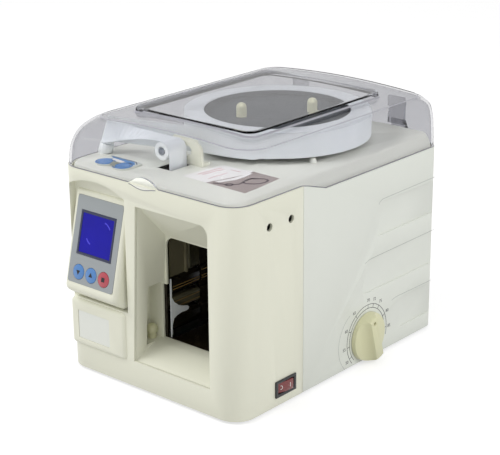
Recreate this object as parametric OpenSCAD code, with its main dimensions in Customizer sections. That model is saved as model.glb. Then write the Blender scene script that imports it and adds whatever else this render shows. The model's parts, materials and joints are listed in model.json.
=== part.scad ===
// Desktop banknote strapping machine with a paper-tape reel under a clear lid.
// Millimetres. X is the width, -Y the front, Z up. Lengths below are measured from the
// middle of the casing and from its bottom edge; placed() moves all onto the bench origin.

/* [Casing] */
// Width of the casing
body_w = 230; // [220:1:250]
// Depth of the casing
body_d = 318; // [310:1:340]
// Height of the front casing
front_h = 210; // [206:0.5:214]
// Drop from the front casing's height to the rear casing's
step_h = 10.5; // [8:0.5:14]
// Thickness of the casing walls
wall = 3; // [2.4:0.1:3.4]
// Radius of the front upright corners
front_r = 22; // [18:1:24]
// Radius of the rear upright corners
rear_r = 12; // [9:1:14]
// Depth of the front casing
front_d = 95; // [91:1:97]
// Length of the slope between the two casing heights
notch_l = 34; // [26:1:40]
// Gap at the seam between the casings
seam_gap = 0.4; // [0.3:0.1:0.8]
// Height of the rubber feet
foot_h = 3; // [2:0.5:6]
// Radius of the rubber feet
foot_r = 9; // [6:0.5:12]
// Thickness of the steel base plate
base_t = 2; // [1.5:0.1:2.5]
// Depth of the moulded side panels
panel_cut = 1.6; // [1:0.1:1.8]
// Corner radius of the moulded side panels
panel_r = 7; // [4:1:9]

/* [Lid and deck] */
// Height of the deck over the front casing
deck_rise = 3; // [2:0.5:6]
// Thickness of the deck
deck_t = 3; // [2.5:0.1:3.5]
// Thickness of the clear lid
lid_t = 2.5; // [2:0.1:3]
// Height of the lid's top crown over the deck
crown_h = 45; // [44:0.5:50]
// Height of the lid's raised panel over the crown
panel_step = 3; // [2:0.5:4]
// Width of the finger notch in the lid's front edge
notch_w = 38; // [30:1:44]
// Radius of the lid's hinge pins
hinge_r = 1.6; // [1.4:0.1:2]
// How far each hinge stands from the middle
hinge_x = 64; // [50:1:72]

/* [Control panel] */
// Slope of the display face from upright
panel_tilt = 13.9; // [11:0.1:16]
// Distance of the display's middle from the left side
panel_in = 49; // [47:0.5:51]
// Width of the grey overlay
overlay_w = 62.6; // [58:0.2:64]
// Height of the grey overlay along the slope
overlay_h = 87; // [84:0.5:89]
// Diameter of the three panel buttons
button_d = 15; // [12:0.5:16]
// Spacing of the three panel buttons
button_pitch = 17.4; // [16.5:0.1:18.4]
// Travel of the panel buttons and deck keys
key_travel = 0.8; // [0.5:0.1:1]

/* [Note mouth] */
// Distance of the mouth's right edge from the right side
mouth_in = 35; // [31:1:41]
// Lower edge of the mouth
mouth_z0 = 27; // [24:1:30]
// Height of the front casing over the mouth
mouth_top = 22; // [20:1:30]
// Height of the throat floor
table_z = 38.5; // [37:0.5:40]
// Height of the front casing over the throat
throat_top = 64; // [60:1:70]
// Distance of the throat's left edge from the display's middle
throat_in = 52; // [50:0.5:54]

/* [Tape and reel] */
// Width of the paper tape
tape_w = 24; // [20:1:24]
// Space between the tape roll and each side of the casing
roll_margin = 20; // [19:1:30]
// Depth of the tape wound on the roll
roll_wound = 21; // [6:1:24]
// Height of the underside of the roll over the deck
roll_lift = 6; // [5.5:0.5:7]
// Distance of the drive pegs from the reel's axis
peg_x = 37; // [30:1:40]
// Radius of the drive pegs
peg_r = 5.25; // [4:0.25:6]
// Radius of the turn roller
turn_r = 9; // [8:0.5:10]

/* [Dial] */
// Radius of the dial knob's skirt
knob_r = 26.5; // [22:0.5:27]
// How far the knob stands out of the side
knob_out = 14; // [12:0.5:20]
// Height of the dial's axis over the casing's bottom edge
dial_z = 25.5; // [25:0.5:27]
// Distance of the dial's axis behind the middle
dial_y = 38.5; // [34:0.5:44]
// Teeth on the dial's pinion
pinion_teeth = 19; // [17:1:20]
// Radius of the dial's shaft
shaft_r = 3; // [2.5:0.1:3.5]

/* [Hidden] */
$fn = 64;

half_w = body_w / 2;
half_d = body_d / 2;
in_w = half_w - wall;
in_d = half_d - wall;
rear_h = front_h - step_h;
seam_y = front_d - half_d;
deck_z = front_h + deck_rise;
panel_x = panel_in - half_w;
mouth_x1 = half_w - mouth_in;
mouth_z1 = front_h - mouth_top;
throat_z1 = front_h - throat_top;
throat_x0 = panel_x + throat_in;
roll_r = half_w - roll_margin;
roll_bore_r = roll_r - roll_wound;
turn_x = throat_x0 - 5.5;
panel_top_y = -half_d + 9;
panel_top_z = front_h - 29;
chin_r = 7;
chin_s = overlay_h + 3.5;
fit = 0.3;
run = 0.06;
eps = 0.01;
hinge_out = 3.5;
hinge_boss_r = 3.6;
shift_x = knob_out / 2;

// The middle of a round edge of the housing: its radius and its place down the slope
function edge_at(r, s) = [panel_top_y - s * sin(panel_tilt) + r * cos(panel_tilt),
    panel_top_z - s * cos(panel_tilt) - r * sin(panel_tilt)];

module placed() translate([-shift_x, -shift_y, foot_h]) children();

// A rectangle with four round corners: x and y ranges, front and rear corner radii
module rounded(x0, x1, y0, y1, rf, rb) {
    translate([x0, y0 + rf]) square([x1 - x0, y1 - y0 - rf - rb]);
    translate([x0 + rf, y0]) square([x1 - x0 - 2 * rf, rf + eps]);
    translate([x0 + rb, y1 - rb - eps]) square([x1 - x0 - 2 * rb, rb + eps]);
    for (x = [x0 + rf, x1 - rf]) translate([x, y0 + rf]) circle(rf);
    for (x = [x0 + rb, x1 - rb]) translate([x, y1 - rb]) circle(rb);
}

// The casing's plan, drawn in by a wall
module plan(inset = 0) {
    rounded(-half_w + inset, half_w - inset, -half_d + inset, half_d - inset,
        front_r - inset, rear_r - inset);
}

// A block from two corners
module block(a, b) translate(a) cube(b - a);

// A profile drawn in (y, z), run from x0 to x1
module along_x(x0, x1) {
    translate([x0, 0, 0]) rotate([90, 0, 90]) linear_extrude(x1 - x0) children();
}

// A profile drawn in (x, z), run from y0 to y1
module along_y(y0, y1) {
    translate([0, y1, 0]) rotate([90, 0, 0]) linear_extrude(y1 - y0) children();
}

// A pin or bore along X or Y
module pin_x(x0, x1, y, z, r) translate([x0, y, z]) rotate([0, 90, 0]) cylinder(h = x1 - x0, r = r);
module pin_y(y0, y1, x, z, r) translate([x, y1, z]) rotate([90, 0, 0]) cylinder(h = y1 - y0, r = r);

// ---- lofted shells -------------------------------------------------------------------
arc_n = 6;
side_n = 8;

function arc(c, r, a) = [for (i = [0:arc_n]) c + r * [cos(a + 90 * i / arc_n), sin(a + 90 * i / arc_n)]];
function between(a, b) = [for (i = [1:side_n - 1]) a + (b - a) * i / side_n];
// A ring of points round a rounded rectangle of half width x, from y0 to y1
function ring(x, y0, y1, rf, rb) = concat(
    arc([x - rb, y1 - rb], rb, 0), between([x - rb, y1], [rb - x, y1]),
    arc([rb - x, y1 - rb], rb, 90), between([-x, y1 - rb], [-x, y0 + rf]),
    arc([rf - x, y0 + rf], rf, 180), between([rf - x, y0], [x - rf, y0]),
    arc([x - rf, y0 + rf], rf, 270), between([x, y0 + rf], [x, y1 - rb]));

// The middle of a ring of points
function centre(ring) = [for (i = [1:len(ring)]) 1] * ring / len(ring);

// A closed skin over equal rings of points, from the lowest to the highest, each end closed by a
// fan round its middle
module skin(rings) {
    n = len(rings[0]);
    m = len(rings);
    polyhedron(
        points = concat([for (r = rings) each r], [centre(rings[0]), centre(rings[m - 1])]),
        faces = concat(
            [for (i = [0:n - 1]) [m * n, i, (i + 1) % n]],
            [for (k = [0:m - 2], i = [0:n - 1]) [k * n + i, (k + 1) * n + i, k * n + (i + 1) % n]],
            [for (k = [0:m - 2], i = [0:n - 1])
                [k * n + (i + 1) % n, (k + 1) * n + i, (k + 1) * n + (i + 1) % n]],
            [for (i = [0:n - 1]) [m * n + 1, (m - 1) * n + (i + 1) % n, (m - 1) * n + i]]));
}

// ---- casing --------------------------------------------------------------------------
module base_plate() {
    color("silver") linear_extrude(base_t) plan(wall + fit);
}

module rubber_feet() {
    inset = 28;
    color([0.12, 0.12, 0.13])
        for (x = [-1, 1], y = [-1, 1])
            translate([x * (half_w - inset), y * (half_d - inset), -foot_h])
                cylinder(h = foot_h, r1 = foot_r - 1, r2 = foot_r);
}

recess_x0 = panel_x - 40;
recess_x1 = panel_x + 40;
// The display's chin ends this far over the recess's floor
recess_z0 = edge_at(chin_r, chin_s)[1] - chin_r - 8.5;
recess_z1 = front_h - 9;
recess_y = -half_d + 12;
arch_r = 89;

// The arched hollow that the display housing sits in, drawn in (x, z)
module arch(grow = 0) {
    intersection() {
        translate([recess_x0 - grow, recess_z0 - grow])
            square([recess_x1 - recess_x0 + 2 * grow, recess_z1 - recess_z0 + 2 * grow]);
        translate([panel_x, recess_z1 - arch_r]) circle(arch_r + grow, $fn = 128);
    }
}

mouth_top_x = throat_x0 + 2.5;
mouth_foot_x = throat_x0 - 6;
mouth_r = 10;

// The mouth's outline in (x, z), with its leaning left edge
module mouth_outline(grow = 0) {
    difference() {
        polygon([[mouth_foot_x - grow, mouth_z0 - grow], [mouth_x1 + grow, mouth_z0 - grow],
            [mouth_x1 + grow, mouth_z1 + grow], [mouth_top_x - grow, mouth_z1 + grow]]);
        difference() {
            translate([mouth_x1 + grow - mouth_r, mouth_z1 + grow - mouth_r])
                square(mouth_r + 1);
            translate([mouth_x1 + grow - mouth_r, mouth_z1 + grow - mouth_r]) circle(mouth_r);
        }
    }
}

side_hole_y = [46 - half_d, 77 - half_d];
side_hole_z = front_h - 27;
side_hole_r = 4;
switch_y = 68 - half_d;
switch_z = 17.5;
switch_w = 27;
switch_h = 13.6;

module front_casing() {
    color([0.91, 0.91, 0.85]) difference() {
        union() {
            linear_extrude(front_h) difference() {
                plan();
                plan(wall);
                translate([-half_w, seam_y - seam_gap / 2]) square([body_w, body_d]);
            }
            intersection() {
                linear_extrude(front_h) plan();
                along_y(-half_d, recess_y + 2.5) arch(2.5);
            }
        }
        along_y(-half_d - 1, recess_y) arch();
        along_y(-half_d - 1, -half_d + wall + 1) mouth_outline();
        block([panel_x - 31, recess_y - 1, recess_z0 + 24], [panel_x + 31, recess_y + 4, recess_z1 - 15]);
        for (y = side_hole_y) pin_x(in_w - 1, half_w + 1, y, side_hole_z, side_hole_r);
        block([in_w - 1, switch_y - switch_w / 2, switch_z - switch_h / 2],
            [half_w + 1, switch_y + switch_w / 2, switch_z + switch_h / 2]);
    }
}

// Points round the corner b of a path a, b, c: an arc of radius r that meets both sides
function fillet(a, b, c, r) = let (u = (a - b) / norm(a - b), v = (c - b) / norm(c - b),
        half = acos(u * v) / 2, mid = b + (u + v) / norm(u + v) * r / sin(half),
        s = b + u * r / tan(half) - mid, turn = (u[0] * v[1] - u[1] * v[0] > 0 ? -1 : 1) * (180 - 2 * half))
    [for (k = [0:5]) let (t = turn * k / 5) mid + [s[0] * cos(t) - s[1] * sin(t), s[0] * sin(t) + s[1] * cos(t)]];

// One moulded side panel, drawn in (y, z): its front end leans back and has round corners
module side_panel(y_low, y_high, z0, z1) {
    far = half_d + 1;
    polygon(concat(fillet([far, z0], [y_low, z0], [y_high, z1], panel_r),
        fillet([y_low, z0], [y_high, z1], [far, z1], panel_r), [[far, z1], [far, z0]]));
}

inlet_x = 45 - half_w;
inlet_z = 42;
inlet_w = 27.6;
inlet_h = 20;
vent_n = 9;
vent_pitch = 7;
lug_w = 6;

module rear_casing() {
    color([0.885, 0.9, 0.87]) difference() {
        union() {
            linear_extrude(front_h) difference() {
                plan();
                plan(wall);
                translate([-half_w, -half_d - 1])
                    square([body_w, half_d + 1 + seam_y + seam_gap / 2]);
            }
            for (s = [-1, 1], k = [-1, 1]) hinge_lug(s * hinge_x + k * (9 + lug_w / 2));
        }
        along_x(-half_w - 1, half_w + 1) polygon([[seam_y, front_h], [seam_y + notch_l, rear_h],
            [half_d - 1, rear_h], [half_d - 1, front_h + 1], [seam_y - 2, front_h + 1]]);
        block([-half_w, half_d - 2, rear_h], [half_w, half_d + eps, front_h + 1]);
        for (s = [-1, 1]) {
            lo = s > 0 ? half_w - panel_cut : -half_w - 1;
            for (p = [[50, 60, 128, 163], [28, 39, 72, 107], [94, 96, 16, 50]])
                along_x(lo, lo + panel_cut + 1) side_panel(p[0], p[1], p[2], p[3]);
        }
        pin_x(in_w - 1, half_w + 1, dial_y, dial_z, shaft_r + 0.5);
        block([inlet_x - inlet_w / 2, in_d - 1, inlet_z - inlet_h / 2],
            [inlet_x + inlet_w / 2, half_d + 1, inlet_z + inlet_h / 2]);
        for (i = [0:vent_n - 1])
            block([20 + i * vent_pitch, in_d - 1, 110], [23 + i * vent_pitch, half_d + 1, 150]);
        for (s = [-1, 1]) pin_x(s * hinge_x - 20, s * hinge_x + 20, hinge_y, hinge_z, hinge_r + run);
    }
}

hinge_y = half_d + hinge_out;
hinge_z = rear_h + 3.5;

module hinge_lug(x) {
    along_x(x - lug_w / 2, x + lug_w / 2) {
        translate([hinge_y, hinge_z]) circle(hinge_boss_r);
        polygon([[half_d - eps, rear_h - 12], [half_d - eps, rear_h], [hinge_y, rear_h],
            [hinge_y + hinge_boss_r, hinge_z], [hinge_y + hinge_boss_r, hinge_z - 4]]);
    }
}

module lid_hinge_pins() {
    color("silver") for (s = [-1, 1])
        pin_x(s * hinge_x - 14.5, s * hinge_x + 14.5, hinge_y, hinge_z, hinge_r);
}

// ---- deck and lid --------------------------------------------------------------------
deck_x = in_w - 2 * fit;
deck_y0 = -in_d + fit;
deck_y1 = in_d - 2;
slot_x0 = turn_x - 5;
slot_x1 = turn_x + 14;
tape_y = 59 - half_d;
spindle_r = 5;
reel_x = -2;
// The roll stands in the middle of the space behind the tape's turn
reel_y = (tape_y + in_d) / 2 + 10;

// Rings of the deck: how far each is drawn in at the sides and the front, and its height
function deck_rings(t) = [for (k = [[0, 0, -30], [0, 0, -12], [1.6, 0.2, -7], [3.9, 0.6, -2.2],
        [4.5, 1.2, -0.8], [5.6, 2.6, 0]])
    [for (p = ring(deck_x - k[0] - t, deck_y0 + k[1] + t, deck_y1 - k[0] / 2 - t,
            front_r - wall - t, rear_r - wall - t)) [p[0], p[1], deck_z + k[2] - t]]];

module top_deck() {
    color([0.9, 0.91, 0.87]) {
        deck_shell();
        // the nub that the lead of a new roll is tucked under
        translate([reel_x + 81, reel_y - 44, deck_z - 1]) cylinder(h = 5.2, r1 = 4.4, r2 = 2.8);
    }
}

module deck_shell() {
    difference() {
        skin(deck_rings(0));
        difference() {
            translate([0, 0, -eps]) skin(deck_rings(deck_t));
            translate([reel_x, reel_y, deck_z - 12]) cylinder(h = 12, r = spindle_r + 4);
            translate([post_x, post_y, deck_z - 9]) cylinder(h = 9, r = 7);
        }
        // the skirt stops over the display recess and over the rear casing's ledge
        block([-half_w, -half_d, 0], [half_w, seam_y + 4, front_h - 5]);
        block([-half_w, seam_y, 0], [half_w, half_d, rear_h - 7]);
        block([slot_x0, tape_y - tape_w / 2 - 2, deck_z - 8], [slot_x1, tape_y + tape_w / 2 + 1, deck_z + 1]);
        translate([reel_x, reel_y, 0]) cylinder(h = deck_z + 1, r = spindle_r + eps);
        for (x = key_x) translate([x, key_y, deck_z - 8]) cylinder(h = 12, r = key_stem_r + 0.4);
    }
}

// Levels of the lid: side, front and rear draw-in, height over the deck, share of the wall
// taken downwards, front and rear corner radii
crease = 40;
lid_levels = [[0.8, 0.6, 0.6, -18, 0, 22, 12], [0.8, 0.8, 0.8, 2, 0, 22, 12], [1.4, 2.2, 1.2, 14, 0.15, 22.5, 12.5],
    [2.2, 5.8, 2, 23, 0.35, 23, 13], [3.8, 11.5, 3.6, 30.5, 0.6, 24, 13], [6.6, 18, 6.4, 35.4, 0.8, 26, 14],
    [9.6, 24.5, 9.4, 38.4, 0.93, 28, 15], [13, 31, 13, crease, 1, 30, 16]];
lid_panel_x = half_w - 37;
lid_panel_y0 = 64 - half_d;
lid_panel_y1 = half_d - 49;

// The top is crowned across the width, and the heights below it share in that
function crown(x) = (crown_h - crease) * max(0, 1 - pow(x / (half_w - 13), 2));
function lid_rings(t) = concat(
    [for (k = lid_levels) [for (p = ring(half_w - k[0] - t, -half_d + k[1] + t * 1.1,
            half_d - k[2] - t, k[5] - t, k[6] - t))
        [p[0], p[1], deck_z + k[3] - t * k[4] + max(0, k[3]) / crease * crown(p[0])]]],
    [[for (p = ring(lid_panel_x - t / 2, lid_panel_y0 + t / 2, lid_panel_y1 - t / 2, 12, 12))
        [p[0], p[1], deck_z + crease - t + crown(p[0])]]],
    [[for (p = ring(lid_panel_x - 1 - t / 2, lid_panel_y0 + 1 + t / 2, lid_panel_y1 - 1 - t / 2, 12, 12))
        [p[0], p[1], deck_z + crown_h + panel_step - t]]]);

module lid() {
    notch_h = 8;
    notch_cut_r = (pow(notch_w / 2, 2) + pow(notch_h, 2)) / (2 * notch_h);
    color([0.72, 0.75, 0.82, 0.35]) difference() {
        union() {
            intersection() {
                difference() {
                    skin(lid_rings(0));
                    translate([0, 0, -eps]) skin(lid_rings(lid_t));
                }
                along_x(-half_w - 1, half_w + 1) polygon([[-half_d - 1, front_h + fit],
                    [seam_y, front_h + fit], [seam_y + notch_l, rear_h + fit],
                    [half_d + 1, rear_h + fit], [half_d + 1, deck_z + 60], [-half_d - 1, deck_z + 60]]);
            }
            for (s = [-1, 1]) {
                knuckle(s * hinge_x);
                block([s * hinge_x - 10, half_d - lid_t - 5, deck_z + 2],
                    [s * hinge_x + 10, half_d - lid_t, deck_z + 21]);
            }
        }
        pin_y(-half_d - 1, -half_d + 20, 0, front_h + notch_h - notch_cut_r, notch_cut_r);
        for (s = [-1, 1]) pin_x(s * hinge_x - 20, s * hinge_x + 20, hinge_y, hinge_z, hinge_r + run);
    }
}

module knuckle(x) {
    w = 9 - fit;
    along_x(x - w, x + w) {
        translate([hinge_y, hinge_z]) circle(hinge_boss_r);
        polygon([[half_d - lid_t, rear_h + 1], [hinge_y, hinge_z - hinge_boss_r], [hinge_y + hinge_boss_r, hinge_z],
            [half_d - 1.4, hinge_z + 16], [half_d - lid_t, hinge_z + 16]]);
    }
}

screw_r = 2;
frame_x = in_w - 10;

module side_screws() {
    color("silver") for (y = side_hole_y) {
        pin_x(frame_x + 1.5, frame_x + 4, y, side_hole_z, side_hole_r - 0.6);
        pin_x(frame_x - 6, frame_x + 1.6, y, side_hole_z, screw_r);
    }
}

// ---- control panel -------------------------------------------------------------------
// Local frame on the sloping face: x across, s down the slope from its top, w outwards
module on_panel(x = 0, s = 0, w = 0) {
    translate([panel_x, panel_top_y, panel_top_z]) rotate([90 - panel_tilt, 0, 0])
        translate([x, -s, w]) children();
}

lcd_w = 48;
lcd_h = 44;
lcd_s = 36.2;
button_s = overlay_h - 11.4;
board_s = overlay_h / 2 + 0.5;
overlay_t = 0.8;
housing_w = 73;

// The bench origin lies midway between the hinge bosses and the display's chin
shift_y = (half_d + hinge_out + hinge_boss_r + edge_at(chin_r, chin_s)[0] - chin_r) / 2;

module display_housing() {
    top = edge_at(3.5, -3);
    chin = edge_at(chin_r, chin_s);
    color([0.92, 0.92, 0.87]) difference() {
        hull() {
            for (k = [-1, 1]) {
                translate([panel_x + k * (housing_w / 2 - 3.5), top[0], top[1]]) sphere(3.5, $fn = 32);
                translate([panel_x + k * (housing_w / 2 - chin_r), chin[0], chin[1]]) sphere(chin_r, $fn = 32);
                translate([panel_x + k * (housing_w / 2 - 6), recess_y - 8, recess_z0 + 7.3])
                    sphere(6, $fn = 32);
            }
        }
        block([-half_w, recess_y, 0], [0, 0, front_h]);
        on_panel(0, overlay_h / 2, -overlay_t + 0.2) translate([0, 0, 2])
            cube([overlay_w + 0.4, overlay_h + 0.4, 4], center = true);
        on_panel(0, lcd_s, -4) translate([0, 0, 3]) cube([lcd_w + 0.6, lcd_h + 0.6, 6], center = true);
        for (i = [-1:1]) on_panel(i * button_pitch, button_s, -4) cylinder(h = 5, r = button_d / 2 + 0.4);
        on_panel(0, board_s, -20) translate([0, 0, 8])
            cube([overlay_w - 6, overlay_h - 9, 16], center = true);
    }
}

module keypad_overlay() {
    r = 3;
    color([0.61, 0.64, 0.65]) difference() {
        on_panel(0, 0, -overlay_t + 0.2) linear_extrude(overlay_t)
            rounded(-overlay_w / 2, overlay_w / 2, -overlay_h, 0, r, r);
        on_panel(0, lcd_s, -2) translate([0, 0, 2]) cube([lcd_w + 0.4, lcd_h + 0.4, 8], center = true);
        for (i = [-1:1]) on_panel(i * button_pitch, button_s, -2)
            cylinder(h = 6, r = button_d / 2 + 0.35);
    }
}

module lcd_frame() {
    color([0.18, 0.2, 0.32]) difference() {
        on_panel(0, lcd_s, -4) linear_extrude(4.4)
            rounded(-lcd_w / 2, lcd_w / 2, -lcd_h / 2, lcd_h / 2, 1.5, 1.5);
        on_panel(0, lcd_s, -1.2) translate([0, 0, 2]) cube([lcd_w - 5, lcd_h - 5, 4], center = true);
    }
}

module lcd_glass() {
    color([0.08, 0.08, 0.7]) on_panel(0, lcd_s, -1.2) translate([0, 0, 0.6])
        cube([lcd_w - 5.2, lcd_h - 5.2, 1.2], center = true);
}

module panel_board() {
    color([0.1, 0.4, 0.2]) {
        on_panel(0, board_s, -7.2) translate([0, 0, 0.8]) cube([overlay_w - 7, overlay_h - 10, 1.6], center = true);
        for (i = [-1:1]) on_panel(i * button_pitch, button_s, -5.61)
            translate([0, 0, 0.8]) cube([6, 6, 1.62], center = true);
        on_panel(0, lcd_s, -5.61) translate([0, 0, 0.8]) cube([lcd_w - 8, lcd_h - 8, 1.62], center = true);
    }
}

// A panel button: a domed cap and a stem that ends just over its switch
module panel_button(i) {
    on_panel(i * button_pitch, button_s, -2.9) {
        cylinder(h = 3.4, r = button_d / 2);
        translate([0, 0, 3.3]) cylinder(h = 0.5, r1 = button_d / 2 - 0.2, r2 = button_d / 2 - 1.2);
    }
}

module button_down() { color([0.3, 0.5, 0.75]) panel_button(-1); }
module button_up() { color([0.3, 0.5, 0.75]) panel_button(0); }
module button_clear() { color([0.69, 0.29, 0.35]) panel_button(1); }

cover_x0 = panel_x - 39;
cover_x1 = panel_x + 37;
cover_y = -half_d - 3.2;
cover_top = round(recess_z0) - 6;
label_z0 = 33;
label_x = panel_x - 6;
label_w = 44;
label_h = cover_top - 40;

module lower_cover() {
    color([0.92, 0.92, 0.87]) difference() {
        hull() for (x = [cover_x0 + 5, cover_x1 - 5], z = [30, cover_top])
            translate([x, cover_y + 5, z]) {
                sphere(5, $fn = 32);
                rotate([-90, 0, 0]) cylinder(h = 14, r = 5, $fn = 32);
            }
        translate([0, 0, -1]) linear_extrude(front_h + 2) plan(-0.02);
        block([label_x - label_w / 2, cover_y - 1, label_z0],
            [label_x + label_w / 2, cover_y + 1.2, label_z0 + label_h]);
    }
}

module blank_label() {
    color([0.93, 0.94, 0.94])
        block([label_x - label_w / 2 + fit, cover_y + 0.5, label_z0 + fit],
            [label_x + label_w / 2 - fit, cover_y + 1.2, label_z0 + label_h - fit]);
}

// ---- note mouth and throat -----------------------------------------------------------
throat_y = 45 - half_d;
throat_r = 10;
liner_y0 = -in_d + 0.1;
pocket_z1 = 100;
pocket_x = throat_x0 - 24;
pocket_y = recess_y + 6;

// The throat's outline in (x, z)
module throat_outline(grow = 0) {
    difference() {
        translate([throat_x0 - grow, table_z - grow])
            square([mouth_x1 + 3 - throat_x0 + 2 * grow, throat_z1 - table_z + 2 * grow]);
        for (x = [throat_x0, mouth_x1 + 3]) corner_cut(x, throat_z1, throat_r, grow, x > 0 ? 1 : -1);
    }
}

// What a round upper corner takes off a square one
module corner_cut(x, z, r, grow, side) {
    translate([x + side * (grow - r), z + grow - r]) difference() {
        translate([side > 0 ? 0 : -r - 1, 0]) square(r + 1);
        circle(r);
    }
}

module mouth_liner() {
    color([0.9, 0.9, 0.83]) difference() {
        union() {
            along_x(recess_x1 + 3, mouth_x1 + 6) polygon([[liner_y0, mouth_z0 - 5],
                [liner_y0, mouth_z1 + 4], [throat_y, throat_z1 + 6], [throat_y, mouth_z0 - 5]]);
            block([pocket_x - 3, pocket_y - 3, mouth_z0 - 5], [0, throat_y, pocket_z1 + 3]);
        }
        intersection() {
            along_x(-60, mouth_x1 + 5) polygon([[-half_d - 1, mouth_z0], [-half_d + 3, mouth_z0],
                [throat_y - 16, table_z], [throat_y - 2.4, table_z], [throat_y - 2.4, throat_z1 + 1],
                [-half_d + 3, mouth_z1], [-half_d - 1, mouth_z1]]);
            along_y(-half_d - 1, throat_y + 1) mouth_outline();
        }
        along_y(throat_y - 3, throat_y + 1) throat_outline();
        block([pocket_x, pocket_y, table_z], [throat_x0 + 6, throat_y - 3, pocket_z1]);
        block([throat_x0 - 6, throat_y - 3.2, table_z], [throat_x0 + 1, throat_y + 1, pocket_z1 - 4]);
    }
}

module sensor_boss() {
    color([0.9, 0.9, 0.8]) {
        translate([throat_x0 - 15, throat_y - 10, table_z]) cylinder(h = 7, r = 4.5);
        translate([throat_x0 - 15, throat_y - 10, table_z + 9]) sphere(6);
    }
}

rear_plate_y = half_d - 99;
plate_t = 1.5;

module throat_plate_front() {
    color([0.2, 0.2, 0.2]) difference() {
        block([throat_x0 - 28, throat_y + fit, base_t], [frame_x - 0.5, throat_y + fit + plate_t, throat_z1 + 22]);
        along_y(throat_y - 1, throat_y + 4) throat_outline();
        block([throat_x0 - 3, throat_y - 1, table_z], [throat_x0 + 5, throat_y + 4, pocket_z1 - 4]);
    }
}

module throat_plate_rear() {
    color([0.25, 0.25, 0.26]) difference() {
        block([throat_x0 - 70, rear_plate_y, base_t], [mouth_x1 + 6, rear_plate_y + plate_t, throat_z1 + 6]);
        block([stop_x - 9, rear_plate_y - 1, 0], [stop_x + 9, rear_plate_y + 3, rack_z1 + 3]);
        pin_y(rear_plate_y - 1, rear_plate_y + 3, throat_x0 - 6, throat_z1 - 20, 4);
    }
}

stop_x = mouth_x1 - 7;
stop_y = -10;
knob_back = 117;
knob_fwd = 89;
module_mm = 1;
pitch_r = pinion_teeth * module_mm / 2;
stop_fwd = pitch_r * knob_fwd * PI / 180;
stop_back = pitch_r * knob_back * PI / 180;
table_t = 2;

module note_table() {
    color([0.16, 0.16, 0.17]) difference() {
        block([throat_x0 + 3, throat_y + plate_t + 2 * fit, table_z - table_t],
            [mouth_x1 + 3, rear_plate_y - fit, table_z]);
        block([stop_x - 4, stop_y - 4 - stop_back - 2, table_z - 5],
            [stop_x + 4, stop_y + stop_fwd + 2, table_z + 1]);
    }
    color([0.16, 0.16, 0.17]) for (y = [tape_y + 10, rear_plate_y - 30])
        block([20, y, base_t], [60, y + 3, table_z - table_t]);
}

track_t = 5;
track_y0 = throat_y + plate_t + 2 * fit;
track_y1 = tape_y + tape_w / 2 + 3;

// The tape's guide: an open arch round the throat, with a channel for the tape inside
module tape_track() {
    color([0.45, 0.43, 0.33]) difference() {
        along_y(track_y0, track_y1) difference() {
            throat_outline(track_t);
            throat_outline(0.6);
            translate([throat_x0 - 10, 0]) square([24, pocket_z1]);
            translate([-60, table_z - 20]) square([220, 20]);
            translate([slot_x1 - 6, throat_z1]) square([3, 20]);
        }
        along_y(tape_y - tape_w / 2 - 0.5, tape_y + tape_w / 2 + 0.5) intersection() {
            throat_outline(track_t - 1.5);
            translate([-60, table_z + 3]) square([220, 200]);
        }
    }
}

anvil_x = throat_x0 - 0.5;

module anvil_plate() {
    tip_y = throat_y + 40;
    tip_z = 59.5;
    color([0.8, 0.82, 0.84]) along_x(anvil_x, anvil_x + 1) {
        translate([track_y0, table_z]) square([9, pocket_z1 - table_z]);
        difference() {
            translate([track_y0 + 8, tip_z - 24]) square([tip_y - track_y0 - 8, 48]);
            translate([tip_y, tip_z + 25.5]) circle(22.5);
            translate([tip_y, tip_z - 25.5]) circle(22.5);
        }
        translate([tip_y, tip_z]) circle(3);
    }
}

jaw_x = throat_x0 - 6.5;
jaw_y0 = track_y0 + 10;
jaw_y1 = throat_y + 52;
jaw_z = [48, 68, 88];
sol_r = 9;
sol_x0 = throat_x0 - 66;
sol_x1 = throat_x0 - 32;
plunger_r = 3;
jaw_mid = (jaw_y0 + jaw_y1) / 2;

// A clamp bar of the strapping head with its solenoid plunger
module jaw(z, h, nose) {
    along_y(jaw_y0, jaw_y1) difference() {
        translate([jaw_x - 13, z - h / 2]) square([13, h]);
        for (k = [-1, 1]) translate([jaw_x, z + k * h / 2]) rotate(45)
            square(nose, center = true);
    }
    pin_x(sol_x0 + 6, jaw_x - 12.9, jaw_mid, z, plunger_r);
}

module upper_clamp() { color([0.13, 0.12, 0.11]) jaw(jaw_z[2], 18, 5); }
module tape_sealer() { color([0.35, 0.28, 0.16]) jaw(jaw_z[1], 14, 3); }
module lower_clamp() { color([0.13, 0.12, 0.11]) jaw(jaw_z[0], 17, 5); }

module solenoids() {
    color([0.55, 0.4, 0.22]) for (z = jaw_z) difference() {
        pin_x(sol_x0, sol_x1, jaw_mid, z, sol_r);
        pin_x(sol_x0 + 3, sol_x1 + 1, jaw_mid, z, plunger_r + run);
    }
}

module head_bracket() {
    color([0.55, 0.57, 0.6]) {
        block([sol_x0 - 2, jaw_y0, base_t], [sol_x0, jaw_y1, jaw_z[2] + 14]);
        block([sol_x0 - 14, jaw_y0, base_t], [sol_x0 - 1.9, jaw_y1, base_t + 2]);
    }
}

// The fixed rails that carry on the jaws' line along the throat
module side_guide() {
    y0 = jaw_y1 + 2;
    y1 = rear_plate_y - eps;
    color([0.14, 0.13, 0.12]) along_y(y0, y1) difference() {
        translate([jaw_x - 5, table_z - 1]) square([5, throat_z1 - table_z]);
        for (z = [jaw_z[0] + 9.5, jaw_z[1] + 8.2]) translate([jaw_x - 3, z - 1]) square([4, 2.4]);
        translate([jaw_x - 2, jaw_z[2] + 10]) square([3, 60]);
    }
}

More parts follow.
